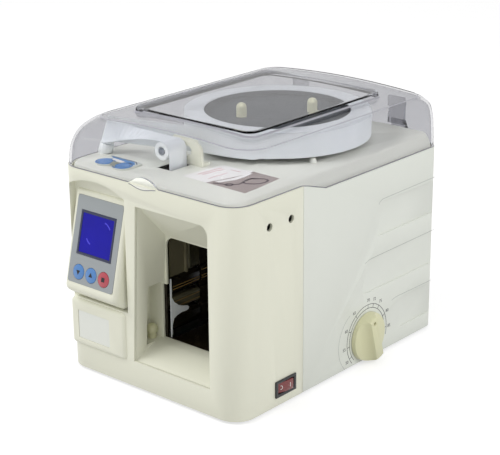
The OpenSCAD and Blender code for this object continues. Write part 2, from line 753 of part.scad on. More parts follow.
module right_frame() {
    color([0.55, 0.57, 0.6]) difference() {
        block([frame_x, throat_y + 0.5, base_t], [frame_x + plate_t, seam_y - 4, front_h - 14]);
        for (y = side_hole_y) pin_x(frame_x - 1, frame_x + 3, y, side_hole_z, screw_r + 0.05);
        block([frame_x - 1, switch_y - switch_w / 2 - 2, 0],
            [frame_x + 3, switch_y + switch_w / 2 + 2, switch_z + switch_h / 2 + 2]);
    }
}

// ---- dial, pinion and note stop ------------------------------------------------------
press_a = 20;
base_r = pitch_r * cos(press_a);
tip_r = pitch_r + module_mm;
root_r = pitch_r - 1.25 * module_mm;
backlash = 0.24;

function inv(a) = tan(a) * 180 / PI - a;
function flank_a(r) = 90 / pinion_teeth - backlash / pitch_r * 90 / PI / 2
    + inv(press_a) - inv(acos(min(1, base_r / r)));
function flank(i, side) = [for (k = [0:5]) let (r = max(base_r, root_r) + (tip_r - max(base_r, root_r)) * k / 5,
        a = i * 360 / pinion_teeth + side * flank_a(r)) [r * cos(a), r * sin(a)]];
function reversed(v) = [for (k = [len(v) - 1:-1:0]) v[k]];

pinion_x0 = stop_x - 4;
pinion_x1 = stop_x + 4;

// The toothed wheel: involute flanks, one tooth pointing straight down
module dial_pinion() {
    color("silver") difference() {
        translate([pinion_x0, dial_y, dial_z]) rotate([90, 0, 90]) linear_extrude(pinion_x1 - pinion_x0)
            rotate(-90) {
                circle(root_r);
                for (i = [0:pinion_teeth - 1]) polygon(concat(
                    [root_r * 0.9 * [cos(i * 360 / pinion_teeth - 5), sin(i * 360 / pinion_teeth - 5)]],
                    flank(i, -1), reversed(flank(i, 1)),
                    [root_r * 0.9 * [cos(i * 360 / pinion_teeth + 5), sin(i * 360 / pinion_teeth + 5)]]));
            }
        pin_x(pinion_x0 - 1, pinion_x1 + 1, dial_y, dial_z, shaft_r);
    }
}

module dial_shaft() {
    color("silver") pin_x(pinion_x0, half_w + 4, dial_y, dial_z, shaft_r);
}

bearing_x = mouth_x1 + 8;

module dial_bearing() {
    color([0.55, 0.57, 0.6]) difference() {
        union() {
            block([bearing_x, dial_y - 12, base_t], [bearing_x + 4, dial_y + 12, dial_z + 10]);
            block([bearing_x, dial_y - 12, base_t], [bearing_x + 14, dial_y + 12, base_t + 2]);
        }
        pin_x(bearing_x - 1, bearing_x + 6, dial_y, dial_z, shaft_r + run);
    }
}

rack_z1 = dial_z - pitch_r - 1.25 * module_mm;
rack_y0 = stop_y;
rack_y1 = rear_plate_y + 16;

// One rack tooth in (y, z), its middle at y = 0
module rack_tooth() {
    half = (PI * module_mm / 2 - backlash) / 2;
    t = tan(press_a);
    polygon([[-half - 1.25 * t, -1.25], [half + 1.25 * t, -1.25], [half - t, 1], [t - half, 1]] * module_mm);
}

module note_stop() {
    n0 = ceil((rack_y0 + 3 - dial_y) / (PI * module_mm));
    n1 = floor((rack_y1 - 3 - dial_y) / (PI * module_mm));
    color([0.7, 0.72, 0.74]) {
        block([stop_x - 3, rack_y0, rack_z1 - 6], [stop_x + 3, rack_y1, rack_z1 + eps]);
        along_x(stop_x - 3, stop_x + 3) for (n = [n0:n1 - 1])
            translate([dial_y + (n + 0.5) * PI * module_mm, dial_z - pitch_r]) rack_tooth();
        block([stop_x - 3, stop_y - 4, rack_z1 - 6], [stop_x + 3, stop_y, table_z + 1]);
        block([throat_x0 + 8, stop_y - 4, table_z + 0.6], [stop_x + 3, stop_y - 2, table_z + 38]);
    }
}

module rack_guide() {
    y0 = dial_y - 30;
    y1 = dial_y + 22;
    color([0.55, 0.57, 0.6]) {
        block([stop_x - 8, y0, base_t], [stop_x + 8, y1, rack_z1 - 6 - fit]);
        for (x = [stop_x - 8, stop_x + 3 + fit])
            block([x, y0, base_t], [x + 5 - fit, y1, rack_z1 - 1]);
    }
}

grip_a = 117;

// A round knob scooped out on both sides, which leaves a bar for the fingers
module dial_knob() {
    skirt = 4.5;
    top = knob_out - 0.5;
    color([0.85, 0.85, 0.71])
        translate([half_w + 0.5, dial_y, dial_z]) rotate([90, 0, 90]) rotate(grip_a) difference() {
            rotate_extrude($fn = 96) polygon([[0, 0], [knob_r, 0], [knob_r, 1.2],
                [knob_r - 1.5, top - 2.4], [knob_r - 2.3, top - 0.8], [knob_r - 3.6, top], [0, top]]);
            for (s = [-1, 1]) scoop(s, skirt);
            translate([0, 0, -1]) cylinder(h = 4.5, r = shaft_r);
            translate([knob_r - 7, 0, top - 6]) cylinder(h = 10, r = 2);
        }
}

// What is cut from one side of the knob: a round hollow that runs out to the rim
module scoop(side, floor_z) {
    bar = 5.5;
    r = 12;
    rotate([90, 0, 90]) translate([0, 0, -knob_r - 1]) linear_extrude(2 * knob_r + 2) {
        translate([side * (bar + r), floor_z + r]) circle(r);
        translate([side > 0 ? bar + r : -bar - r - knob_r, floor_z]) square([knob_r, knob_out]);
    }
}

// ---- power switch --------------------------------------------------------------------
rocker_tilt = 9;

module switch_bezel() {
    rim = 1.6;
    color([0.08, 0.08, 0.08]) difference() {
        union() {
            block([half_w, switch_y - switch_w / 2 - rim, switch_z - switch_h / 2 - rim],
                [half_w + 1.6, switch_y + switch_w / 2 + rim, switch_z + switch_h / 2 + rim]);
            block([half_w - 18, switch_y - switch_w / 2 + 0.2, switch_z - switch_h / 2 + 0.2],
                [half_w + eps, switch_y + switch_w / 2 - 0.2, switch_z + switch_h / 2 - 0.2]);
        }
        block([half_w - 10, switch_y - switch_w / 2 + 1.6, switch_z - switch_h / 2 + 1.2],
            [half_w + 2, switch_y + switch_w / 2 - 1.6, switch_z + switch_h / 2 - 1.2]);
    }
}

module power_rocker() {
    h = switch_h - 2.4 - 2 * fit;
    w = switch_w - 3.2 - 3.4;
    color([0.42, 0.08, 0.08])
        translate([half_w - 4, switch_y, switch_z - h / 2]) rotate([0, 0, -rocker_tilt]) linear_extrude(h)
            difference() {
                union() {
                    circle(4.2);
                    polygon([[0, -w / 2 + 1.4], [5.2, -w / 2], [5.9, 0], [5.2, w / 2], [0, w / 2 - 1.4]]);
                }
                translate([rocker_sag + 5.9, 0]) circle(rocker_sag, $fn = 128);
            }
}

rocker_sag = 60;

// ---- reel and tape path --------------------------------------------------------------
roll_z0 = deck_z + roll_lift;
table_r = 60;
hub_top = roll_z0 + tape_w - 6;
peg_a = 54;

module reel_spindle() {
    color("silver") translate([reel_x, reel_y, 0]) {
        translate([0, 0, deck_z - 12]) cylinder(h = roll_lift + 12 + 12, r = spindle_r);
        translate([0, 0, deck_z]) cylinder(h = 1.2, r = spindle_r + 3);
    }
}

module reel_table() {
    color([0.9, 0.9, 0.8]) translate([reel_x, reel_y, 0]) difference() {
        union() {
            translate([0, 0, deck_z + 1.2 + fit]) cylinder(h = roll_lift - 1.2 - fit, r = table_r);
            translate([0, 0, roll_z0 - eps]) cylinder(h = 10, r = 12);
            for (s = [0, 180]) rotate(peg_a + s) translate([peg_x, 0, roll_z0 - eps]) {
                cylinder(h = hub_top + 9 - roll_z0, r = peg_r);
                translate([0, 0, hub_top + 9 - roll_z0]) sphere(peg_r);
            }
        }
        translate([0, 0, deck_z]) cylinder(h = 40, r = spindle_r + run);
    }
}

module reel_hub() {
    hub_r = roll_bore_r - 0.2;
    color([0.38, 0.4, 0.42]) translate([reel_x, reel_y, 0]) difference() {
        union() {
            translate([0, 0, roll_z0]) cylinder(h = hub_top - roll_z0, r = hub_r, $fn = 128);
        }
        translate([0, 0, roll_z0 - 1]) cylinder(h = hub_top - roll_z0 - 2, r = hub_r - 2.5, $fn = 128);
        for (s = [0, 180]) rotate(peg_a + s) translate([peg_x, 0, 0]) cylinder(h = 300, r = peg_r + 0.2);
    }
    color([0.38, 0.4, 0.42]) translate([reel_x, reel_y, roll_z0]) difference() {
        cylinder(h = hub_top - roll_z0 - 2.9, r = 18);
        translate([0, 0, -1]) cylinder(h = 40, r = 12.3);
    }
}

module tape_roll() {
    color([0.9, 0.93, 0.94]) translate([reel_x, reel_y, roll_z0]) difference() {
        cylinder(h = tape_w, r = roll_r, $fn = 160);
        translate([0, 0, -1]) cylinder(h = tape_w + 2, r = roll_bore_r, $fn = 128);
    }
}

post_x = 15 - half_w;
post_y = 49 - half_d;
post_lean = [-8.2, 14.5];
post_r = 5.7;
collar_r = 7.3;
collar_h = 10.5;
post_top = 34;

module on_post() translate([post_x, post_y, deck_z]) rotate([post_lean[0], post_lean[1], 0]) children();

module guide_post() {
    color([0.9, 0.92, 0.92]) {
        on_post() translate([0, 0, 2.4]) cylinder(h = collar_h - 2.4, r = collar_r);
        on_post() translate([0, 0, 0.8]) cylinder(h = post_top - 0.8, r = 2);
        on_post() translate([0, 0, post_top - 1.6]) cylinder(h = 1.6, r = 4);
        translate([post_x, post_y, deck_z]) cylinder(h = 4.2, r = 6.6);
    }
}

module guide_roller() {
    color([0.94, 0.95, 0.96]) on_post() difference() {
        translate([0, 0, collar_h + fit + 0.1]) cylinder(h = post_top - 2.4 - collar_h, r = post_r);
        cylinder(h = 40, r = 2 + run);
    }
}

turn_z = deck_z + 16.5;
turn_y0 = tape_y - tape_w / 2 - 0.6;
turn_y1 = tape_y + tape_w / 2 + 0.6;
tape_t = 0.4;

module turn_roller() {
    color([0.93, 0.94, 0.95]) difference() {
        pin_y(turn_y0, turn_y1, turn_x, turn_z, turn_r);
        pin_y(turn_y0 - 1, turn_y1 + 1, turn_x, turn_z, 2 + run);
        pin_y(turn_y0 - 1, turn_y0 + 1.8, turn_x, turn_z, 4.4);
    }
}

module turn_screw() {
    color("silver") {
        pin_y(turn_y0 + 0.3, turn_y1 + 3.4, turn_x, turn_z, 2);
        difference() {
            pin_y(turn_y0 - 0.2, turn_y0 + 1.4, turn_x, turn_z, 3.6);
            block([turn_x - 2.6, turn_y0 - 1, turn_z - 0.4], [turn_x + 2.6, turn_y0 + 0.6, turn_z + 0.4]);
            block([turn_x - 0.4, turn_y0 - 1, turn_z - 2.6], [turn_x + 0.4, turn_y0 + 0.6, turn_z + 2.6]);
        }
    }
}

module turn_bracket() {
    y0 = turn_y1 + 0.4;
    r = 11;
    color([0.9, 0.9, 0.8]) difference() {
        union() {
            along_y(y0, y0 + 3) {
                translate([turn_x - 10, deck_z]) square([turn_r + 24 - r + 5, 25.6]);
                translate([turn_x - 10, deck_z]) square([turn_r + 29, 25.6 - r]);
                translate([turn_x + turn_r + 19 - r, deck_z + 25.6 - r]) circle(r);
            }
            block([turn_x - 10, y0, deck_z], [turn_x + turn_r + 19, y0 + 12, deck_z + 3]);
        }
        pin_y(y0 - 1, y0 + 4, turn_x, turn_z, 2.02);
        along_y(y0 - 1, y0 + 4) translate([turn_x + turn_r + 12 - r, deck_z + 14]) circle(5);
    }
}

// Where the tape leaves the roll and where it meets the post
lead_a = 290.6;
lead_from = [reel_x + (roll_r + 1.6) * cos(lead_a), reel_y + (roll_r + 1.6) * sin(lead_a), roll_z0];
// A point on the post's leaning axis, and the two sides where the tape meets and leaves it
lean = [cos(post_lean[0]) * sin(post_lean[1]), -sin(post_lean[0]), cos(post_lean[0]) * cos(post_lean[1])];
function on_axis(h) = [post_x, post_y, deck_z] + h * lean;
function off_axis(v) = let (p = v - (v * lean) * lean) p / norm(p);
meet_side = off_axis([-cos(lead_a), -sin(lead_a), 0]);
leave_side = off_axis([0.1, -0.995, 0]);
post_h = collar_h + 0.5;

// A thin strip of tape through a list of places, each the strip's lower and upper edge
module strip(low, high, side) {
    n = len(low);
    off = [for (i = [0:n - 1]) side * tape_t];
    polyhedron(
        points = concat([for (p = low) p], [for (p = high) p],
            [for (i = [0:n - 1]) low[i] + off[i]], [for (i = [0:n - 1]) high[i] + off[i]]),
        faces = concat(
            [for (i = [0:n - 2]) each quad(i, i + 1, n + i + 1, n + i)],
            [for (i = [0:n - 2]) each quad(2 * n + i + 1, 2 * n + i, 3 * n + i, 3 * n + i + 1)],
            [for (i = [0:n - 2]) each quad(2 * n + i, 2 * n + i + 1, i + 1, i)],
            [for (i = [0:n - 2]) each quad(n + i, n + i + 1, 3 * n + i + 1, 3 * n + i)],
            quad(0, n, 3 * n, 2 * n), quad(n - 1, 3 * n - 1, 4 * n - 1, 2 * n - 1)));
}

function quad(a, b, c, d) = [[a, b, c], [a, c, d]];

module tape_lead() {
    n = 8;
    end = (post_r + fit + 0.1) * meet_side;
    function across(a, b) = [for (i = [0:n]) a + (b - a) * i / n];
    color([0.93, 0.94, 0.95]) strip(across(lead_from, on_axis(post_h) + end),
        across(lead_from + [0, 0, tape_w], on_axis(post_h + tape_w) + end), meet_side);
}

module tape_band() {
    n = 16;
    z_top = turn_z + turn_r + 0.3;
    start = (post_r + fit + 0.1) * leave_side;
    a = on_axis(post_h) + start;
    b = on_axis(post_h + tape_w) + start;
    c = [turn_x, tape_y - tape_w / 2, z_top];
    d = [turn_x, tape_y + tape_w / 2, z_top];
    // the front edge rises early and the rear edge late, so the strip arrives flat
    low = [for (i = [0:n]) let (t = i / n, e = sin(t * 90)) [a[0] + (c[0] - a[0]) * t,
        a[1] + (c[1] - a[1]) * e, a[2] + (c[2] - a[2]) * e]];
    high = [for (i = [0:n]) let (t = i / n, e = t * t * (3 - 2 * t)) [b[0] + (d[0] - b[0]) * t,
        b[1] + (d[1] - b[1]) * e, b[2] + (d[2] - b[2]) * e]];
    color([0.94, 0.95, 0.96]) {
        strip(low, high, [0, -0.6, 0.8]);
        on_post() translate([0, 0, post_h]) rotate(115) rotate_extrude(angle = 160)
            translate([post_r + fit + 0.1, 0]) square([tape_t, tape_w]);
    }
}

module tape_drop() {
    r = turn_r + 0.3;
    color([0.94, 0.95, 0.96]) {
        along_y(tape_y - tape_w / 2, tape_y + tape_w / 2) {
            translate([turn_x, turn_z]) intersection() {
                difference() {
                    circle(r + tape_t);
                    circle(r);
                }
                square(r + tape_t + 1);
            }
            translate([turn_x + r, nip_z - 20]) square([tape_t, turn_z - nip_z + 20 + eps]);
        }
    }
}

key_x = [panel_x - 7.4, panel_x + 16];
key_y = -half_d + 24;
key_r = 7.6;
key_stem_r = 3;
surround_t = 1.8;
surround_back = key_y + 17.5;

module key_surround() {
    rim = 2.6;
    color([0.45, 0.52, 0.62]) translate([0, 0, deck_z]) linear_extrude(surround_t) difference() {
        union() {
            for (x = key_x) translate([x, key_y]) circle(key_r + rim);
            translate([key_x[0], key_y - 5]) square([key_x[1] - key_x[0], 10]);
            rounded(key_x[0] - key_r - rim, key_x[1] + key_r + rim, key_y, surround_back, 0.5, 3);
        }
        for (x = key_x) translate([x, key_y]) circle(key_r + 0.35);
    }
}

module deck_key(x) {
    translate([x, key_y, deck_z + key_travel + 0.3]) {
        cylinder(h = 1.1, r = key_r);
        translate([0, 0, 1.09]) cylinder(h = 0.4, r1 = key_r - 0.2, r2 = key_r - 1.2);
    }
    translate([x, key_y, deck_z - 5]) cylinder(h = 6.5, r = key_stem_r);
}

module feed_key() { color([0.25, 0.48, 0.8]) deck_key(key_x[0]); }
module back_key() { color([0.25, 0.48, 0.8]) deck_key(key_x[1]); }

// ---- tape feed under the deck --------------------------------------------------------
nip_z = deck_z - 30;
nip_r = 8.4;
nip_x = turn_x + turn_r + 0.3 + tape_t / 2;
nip_gap = tape_t / 2 + 0.4;
feed_y0 = tape_y - tape_w / 2 - 4;
feed_y1 = tape_y + tape_w / 2 + 3;
nip_shaft_r = 2.5;

module nip_roller(side, y0, y1) {
    x = nip_x + side * (nip_r + nip_gap);
    pin_y(tape_y - tape_w / 2, tape_y + tape_w / 2, x, nip_z, nip_r);
    pin_y(y0, y1, x, nip_z, nip_shaft_r);
}

module feed_roller() { color([0.15, 0.15, 0.16]) nip_roller(1, feed_y0 - 2, feed_y1 + 7); }
module pinch_roller() { color([0.75, 0.76, 0.78]) nip_roller(-1, feed_y0 - 2, feed_y1 + 1.5); }

module feed_frame() {
    color([0.55, 0.57, 0.6]) difference() {
        for (y = [feed_y0 - 1.5, feed_y1])
            block([nip_x - 32, y, nip_z - 14], [nip_x + 32, y + 1.5, deck_z - deck_t - 0.1]);
        for (k = [-1, 1]) pin_y(feed_y0 - 4, feed_y1 + 4, nip_x + k * (nip_r + nip_gap), nip_z,
            nip_shaft_r + run);
    }
}

module feed_motor() {
    x = nip_x + nip_r + nip_gap;
    color([0.3, 0.31, 0.33]) difference() {
        block([x - 17, feed_y1 + 1.6, nip_z - 17], [x + 17, feed_y1 + 34, nip_z + 17]);
        pin_y(feed_y1, feed_y1 + 10, x, nip_z, nip_shaft_r + 0.3);
    }
}

// ---- power inlet, transformer and board ----------------------------------------------
core_x = inlet_x;
core_y = half_d - 60;
board_y = half_d - 47;

module power_supply() {
    color([0.1, 0.1, 0.1]) difference() {
        union() {
            block([inlet_x - inlet_w / 2 + 0.2, half_d - 22, inlet_z - inlet_h / 2 + 0.2],
                [inlet_x + inlet_w / 2 - 0.2, half_d + eps, inlet_z + inlet_h / 2 - 0.2]);
            block([inlet_x - 20, half_d, inlet_z - 12], [inlet_x + 20, half_d + 1.8, inlet_z + 12]);
        }
        block([inlet_x - 11.5, half_d - 15, inlet_z - 7.5], [inlet_x + 11.5, half_d + 3, inlet_z + 7.5]);
    }
    color([0.45, 0.4, 0.3]) {
        block([core_x - 28, core_y - 29, base_t], [core_x + 28, core_y + 29, base_t + 44]);
        block([core_x - 20, core_y - 21, base_t + 43.9], [core_x + 20, core_y + 21, base_t + 52]);
    }
    color([0.1, 0.4, 0.2]) {
        block([-34, board_y - 36, base_t + 6], [60, board_y + 36, base_t + 7.6]);
        for (x = [-28, 54], y = [-30, 30])
            translate([x, board_y + y, base_t]) cylinder(h = 6.1, r = 3);
        block([-22, board_y - 22, base_t + 7.5], [6, board_y - 2, base_t + 30]);
        for (x = [26, 44]) translate([x, board_y + 16, base_t + 7.5]) cylinder(h = 24, r = 7);
    }
}

placed() base_plate();
placed() rubber_feet();
placed() front_casing();
placed() rear_casing();
placed() top_deck();
placed() lid();
placed() lid_hinge_pins();
placed() side_screws();
placed() display_housing();
placed() keypad_overlay();
placed() lcd_frame();
placed() lcd_glass();
placed() panel_board();
placed() button_down();
placed() button_up();
placed() button_clear();
placed() lower_cover();
placed() blank_label();
placed() mouth_liner();
placed() sensor_boss();
placed() throat_plate_front();
placed() throat_plate_rear();
placed() note_table();
placed() tape_track();
placed() anvil_plate();
placed() side_guide();
placed() right_frame();
placed() upper_clamp();
placed() tape_sealer();
placed() lower_clamp();
placed() solenoids();
placed() head_bracket();
placed() note_stop();
placed() rack_guide();
placed() dial_knob();
placed() dial_shaft();
placed() dial_pinion();
placed() dial_bearing();
placed() switch_bezel();
placed() power_rocker();
placed() tape_roll();
placed() reel_hub();
placed() reel_table();
placed() reel_spindle();
placed() guide_roller();
placed() guide_post();
placed() turn_roller();
placed() turn_screw();
placed() turn_bracket();
placed() tape_lead();
placed() tape_band();
placed() tape_drop();
placed() key_surround();
placed() feed_key();
placed() back_key();
placed() feed_frame();
placed() feed_roller();
placed() pinch_roller();
placed() feed_motor();
placed() power_supply();
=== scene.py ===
import json
import math

import bmesh
import bpy
from mathutils import Matrix, Vector


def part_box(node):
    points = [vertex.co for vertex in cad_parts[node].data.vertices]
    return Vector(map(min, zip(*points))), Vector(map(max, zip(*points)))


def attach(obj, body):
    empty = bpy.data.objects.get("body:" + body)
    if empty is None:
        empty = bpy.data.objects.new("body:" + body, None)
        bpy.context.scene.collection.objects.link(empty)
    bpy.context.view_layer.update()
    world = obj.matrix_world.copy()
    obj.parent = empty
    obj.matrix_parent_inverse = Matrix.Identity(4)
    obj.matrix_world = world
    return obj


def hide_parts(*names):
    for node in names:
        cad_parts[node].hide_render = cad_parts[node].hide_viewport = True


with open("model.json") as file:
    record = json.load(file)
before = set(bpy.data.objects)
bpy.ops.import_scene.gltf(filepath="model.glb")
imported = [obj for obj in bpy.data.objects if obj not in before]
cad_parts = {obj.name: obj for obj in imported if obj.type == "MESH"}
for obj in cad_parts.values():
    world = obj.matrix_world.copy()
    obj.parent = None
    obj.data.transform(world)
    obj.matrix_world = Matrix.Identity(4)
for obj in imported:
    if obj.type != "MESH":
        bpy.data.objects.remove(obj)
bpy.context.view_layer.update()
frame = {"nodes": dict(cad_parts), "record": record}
RECORD = frame["record"]
SLOT = {part["node"]: part["material_slot"] for part in RECORD["subparts"]}
BODY = {node: body for body, nodes in RECORD["behaviour"]["bodies"].items() for node in nodes}

# ---- the casing's own measure: millimetres from the middle of its lower edge -----------------
MM = 0.001
PLATE_LOW, PLATE_HIGH = (Vector(corner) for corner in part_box("base_plate"))
MIDDLE = Vector(((PLATE_LOW.x + PLATE_HIGH.x) / 2, (PLATE_LOW.y + PLATE_HIGH.y) / 2, PLATE_LOW.z))


def spot(x, y, z):
    """A place in the row frame from millimetres on the casing."""
    return MIDDLE + Vector((x, y, z)) * MM


def span(node):
    """A node's lowest and highest corners in millimetres on the casing."""
    return [(Vector(corner) - MIDDLE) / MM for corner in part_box(node)]


HALF_W = 115
HALF_D = 159
SEAM_Y = -64
NOTCH_L = 34
FRONT_H = 210
REAR_H = 199.5
DECK_Z = 213
LIFT = 0.06


# ---- colours -----------------------------------------------------------------------------------
def tint(code):
    """A linear colour from a six-figure colour code."""
    parts = [int(code[i:i + 2], 16) / 255 for i in (0, 2, 4)]
    return [c / 12.92 if c < 0.04045 else ((c + 0.055) / 1.055) ** 2.4 for c in parts] + [1]


# ---- shader groups -----------------------------------------------------------------------------
def new_group(name, inputs, outputs):
    tree = bpy.data.node_groups.new(name, "ShaderNodeTree")
    for label, kind, value in inputs:
        socket = tree.interface.new_socket(label, in_out="INPUT", socket_type=kind)
        socket.default_value = value
    for label, kind in outputs:
        tree.interface.new_socket(label, in_out="OUTPUT", socket_type=kind)
    return tree, tree.nodes.new("NodeGroupInput"), tree.nodes.new("NodeGroupOutput")


def node(tree, kind, **settings):
    made = tree.nodes.new(kind)
    for key, value in settings.items():
        setattr(made, key, value)
    return made


def math_node(tree, operation, first, second):
    made = node(tree, "ShaderNodeMath", operation=operation)
    for socket, value in zip(made.inputs, (first, second)):
        if isinstance(value, (int, float)):
            socket.default_value = value
        else:
            tree.links.new(value, socket)
    return made.outputs[0]


def noise(tree, vector, scale, detail=3.0, roughness=0.5):
    made = node(tree, "ShaderNodeTexNoise")
    made.inputs["Detail"].default_value = detail
    made.inputs["Roughness"].default_value = roughness
    if isinstance(scale, (int, float)):
        made.inputs["Scale"].default_value = scale
    else:
        tree.links.new(scale, made.inputs["Scale"])
    tree.links.new(vector, made.inputs["Vector"])
    return made.outputs["Fac"]


def make_spark_grain():
    """The fine spark-eroded grain of a mould, and broad blotches in its gloss."""
    tree, given, out = new_group(
        "spark_grain",
        [("Grain Scale", "NodeSocketFloat", 900.0), ("Blotch Scale", "NodeSocketFloat", 12.0)],
        [("Grain", "NodeSocketFloat"), ("Blotch", "NodeSocketFloat")],
    )
    place = node(tree, "ShaderNodeTexCoord").outputs["Object"]
    tree.links.new(noise(tree, place, given.outputs["Grain Scale"], 2.0), out.inputs["Grain"])
    tree.links.new(noise(tree, place, given.outputs["Blotch Scale"], 4.0, 0.6), out.inputs["Blotch"])
    return tree


def make_drawn_lines():
    """Fine drawn or brushed lines that run along one axis."""
    tree, given, out = new_group(
        "drawn_lines",
        [("Stretch", "NodeSocketVector", (900.0, 20.0, 900.0))],
        [("Lines", "NodeSocketFloat")],
    )
    place = node(tree, "ShaderNodeTexCoord").outputs["Object"]
    scaled = node(tree, "ShaderNodeVectorMath", operation="MULTIPLY")
    tree.links.new(place, scaled.inputs[0])
    tree.links.new(given.outputs["Stretch"], scaled.inputs[1])
    tree.links.new(noise(tree, scaled.outputs[0], 1.0, 2.0), out.inputs["Lines"])
    return tree


def make_settled_dust():
    """A mask of dust that lies on faces that look up, broken by noise."""
    tree, given, out = new_group(
        "settled_dust",
        [("Amount", "NodeSocketFloat", 0.1)],
        [("Mask", "NodeSocketFloat")],
    )
    place = node(tree, "ShaderNodeTexCoord").outputs["Object"]
    facing = node(tree, "ShaderNodeSeparateXYZ")
    tree.links.new(node(tree, "ShaderNodeNewGeometry").outputs["Normal"], facing.inputs[0])
    up = math_node(tree, "MAXIMUM", facing.outputs["Z"], 0.0)
    broken = math_node(tree, "MULTIPLY", up, noise(tree, place, 60.0, 5.0, 0.7))
    tree.links.new(math_node(tree, "MULTIPLY", broken, given.outputs["Amount"]), out.inputs["Mask"])
    return tree


def make_toned():
    """A base colour moved towards a second one by a mask."""
    tree, given, out = new_group(
        "toned",
        [("Base", "NodeSocketColor", (1, 1, 1, 1)), ("Second", "NodeSocketColor", (0, 0, 0, 1)),
         ("Mask", "NodeSocketFloat", 0.0)],
        [("Colour", "NodeSocketColor")],
    )
    mix = node(tree, "ShaderNodeMix", data_type="RGBA", clamp_factor=True)
    tree.links.new(given.outputs["Mask"], mix.inputs[0])
    tree.links.new(given.outputs["Base"], mix.inputs[6])
    tree.links.new(given.outputs["Second"], mix.inputs[7])
    tree.links.new(mix.outputs[2], out.inputs["Colour"])
    return tree


SPARK_GRAIN = make_spark_grain()
DRAWN_LINES = make_drawn_lines()
SETTLED_DUST = make_settled_dust()
TONED = make_toned()


# ---- materials ---------------------------------------------------------------------------------
def placed_group(tree, group, **values):
    made = node(tree, "ShaderNodeGroup", node_tree=group)
    for label, value in values.items():
        made.inputs[label.replace("_", " ")].default_value = value
    return made


def start(name):
    made = bpy.data.materials.new(name)
    made.use_nodes = True
    return made, made.node_tree, made.node_tree.nodes["Principled BSDF"]


def rough_from(tree, principled, value, low, high):
    spread = node(tree, "ShaderNodeMapRange")
    spread.inputs["To Min"].default_value = low
    spread.inputs["To Max"].default_value = high
    tree.links.new(value, spread.inputs["Value"])
    tree.links.new(spread.outputs[0], principled.inputs["Roughness"])


def bumped(tree, principled, height, strength, distance):
    bump = node(tree, "ShaderNodeBump")
    bump.inputs["Strength"].default_value = strength
    bump.inputs["Distance"].default_value = distance
    tree.links.new(height, bump.inputs["Height"])
    tree.links.new(bump.outputs[0], principled.inputs["Normal"])


def toned_colour(tree, principled, base, second, mask):
    tone = placed_group(tree, TONED, Base=tint(base), Second=tint(second))
    tree.links.new(mask, tone.inputs["Mask"])
    tree.links.new(tone.outputs["Colour"], principled.inputs["Base Color"])


def moulded(name, base, second, gloss, grain=0.25, dust=0.06, coat=0.0):
    """Moulded plastic: base colour, the tone it drifts to, and its gloss."""
    made, tree, principled = start(name)
    grained = placed_group(tree, SPARK_GRAIN, Grain_Scale=1300.0, Blotch_Scale=14.0)
    dusty = placed_group(tree, SETTLED_DUST, Amount=dust)
    mask = math_node(tree, "ADD", math_node(tree, "MULTIPLY", grained.outputs["Blotch"], 0.35),
                     dusty.outputs["Mask"])
    toned_colour(tree, principled, base, second, mask)
    rough = 1 - gloss
    rough_from(tree, principled, grained.outputs["Blotch"], max(0.04, rough - 0.06), rough + 0.08)
    bumped(tree, principled, grained.outputs["Grain"], grain, 0.00012)
    principled.inputs["Coat Weight"].default_value = coat
    principled.inputs["Coat Roughness"].default_value = 0.08
    return made


def metal(name, base, second, rough, stretch=(900.0, 20.0, 900.0), metallic=1.0):
    """Sheet or turned metal with drawn lines."""
    made, tree, principled = start(name)
    lines = placed_group(tree, DRAWN_LINES, Stretch=stretch)
    toned_colour(tree, principled, base, second, lines.outputs["Lines"])
    rough_from(tree, principled, lines.outputs["Lines"], max(0.03, rough - 0.05), rough + 0.08)
    bumped(tree, principled, lines.outputs["Lines"], 0.15, 0.0001)
    principled.inputs["Metallic"].default_value = metallic
    return made


def clear_acrylic(name):
    """Clear grey acrylic that lets the lamps through, with painted shade: darker where seen edge on and
    where seen through another wall.
    """
    made, tree, principled = start(name)
    grained = placed_group(tree, SPARK_GRAIN, Grain_Scale=500.0, Blotch_Scale=9.0)
    # painted shade: the colour moves to the darker tone where the wall is seen edge on
    weight = node(tree, "ShaderNodeLayerWeight")
    weight.inputs["Blend"].default_value = 0.35
    edge = math_node(tree, "POWER", weight.outputs["Facing"], 2.3)
    mask = math_node(tree, "ADD", edge, math_node(tree, "MULTIPLY", grained.outputs["Blotch"], 0.05))
    # painted shade: darker again where the wall is seen through another wall
    path = node(tree, "ShaderNodeLightPath")
    behind = math_node(tree, "GREATER_THAN", path.outputs["Transmission Depth"], 1.5)
    mask = math_node(tree, "ADD", mask, math_node(tree, "MULTIPLY", behind, 0.42))
    toned_colour(tree, principled, "EBEBEC", "8C8D96", mask)
    rough_from(tree, principled, grained.outputs["Blotch"], 0.0, 0.04)
    principled.inputs["Transmission Weight"].default_value = 1.0
    principled.inputs["IOR"].default_value = 1.15
    principled.inputs["Specular IOR Level"].default_value = 0.25
    shade = math_node(tree, "MULTIPLY", path.outputs["Is Shadow Ray"], 0.92)
    tree.links.new(math_node(tree, "SUBTRACT", 1.0, shade), principled.inputs["Alpha"])
    return made


def lit_display(name):
    """The lit blue of the display, a little uneven."""
    made, tree, principled = start(name)
    grained = placed_group(tree, SPARK_GRAIN, Grain_Scale=2600.0, Blotch_Scale=30.0)
    toned_colour(tree, principled, "0E0888", "140CA4", grained.outputs["Blotch"])
    principled.inputs["Specular IOR Level"].default_value = 0.2
    toned = principled.inputs["Base Color"].links[0].from_socket
    tree.links.new(toned, principled.inputs["Emission Color"])
    principled.inputs["Emission Strength"].default_value = 0.1
    rough_from(tree, principled, grained.outputs["Blotch"], 0.12, 0.2)
    return made


def paper(name, base, second):
    """Coated paper: fibres and a soft sheen."""
    made, tree, principled = start(name)
    grained = placed_group(tree, SPARK_GRAIN, Grain_Scale=2200.0, Blotch_Scale=40.0)
    toned_colour(tree, principled, base, second, grained.outputs["Blotch"])
    rough_from(tree, principled, grained.outputs["Grain"], 0.45, 0.6)
    bumped(tree, principled, grained.outputs["Grain"], 0.2, 0.0001)
    return made


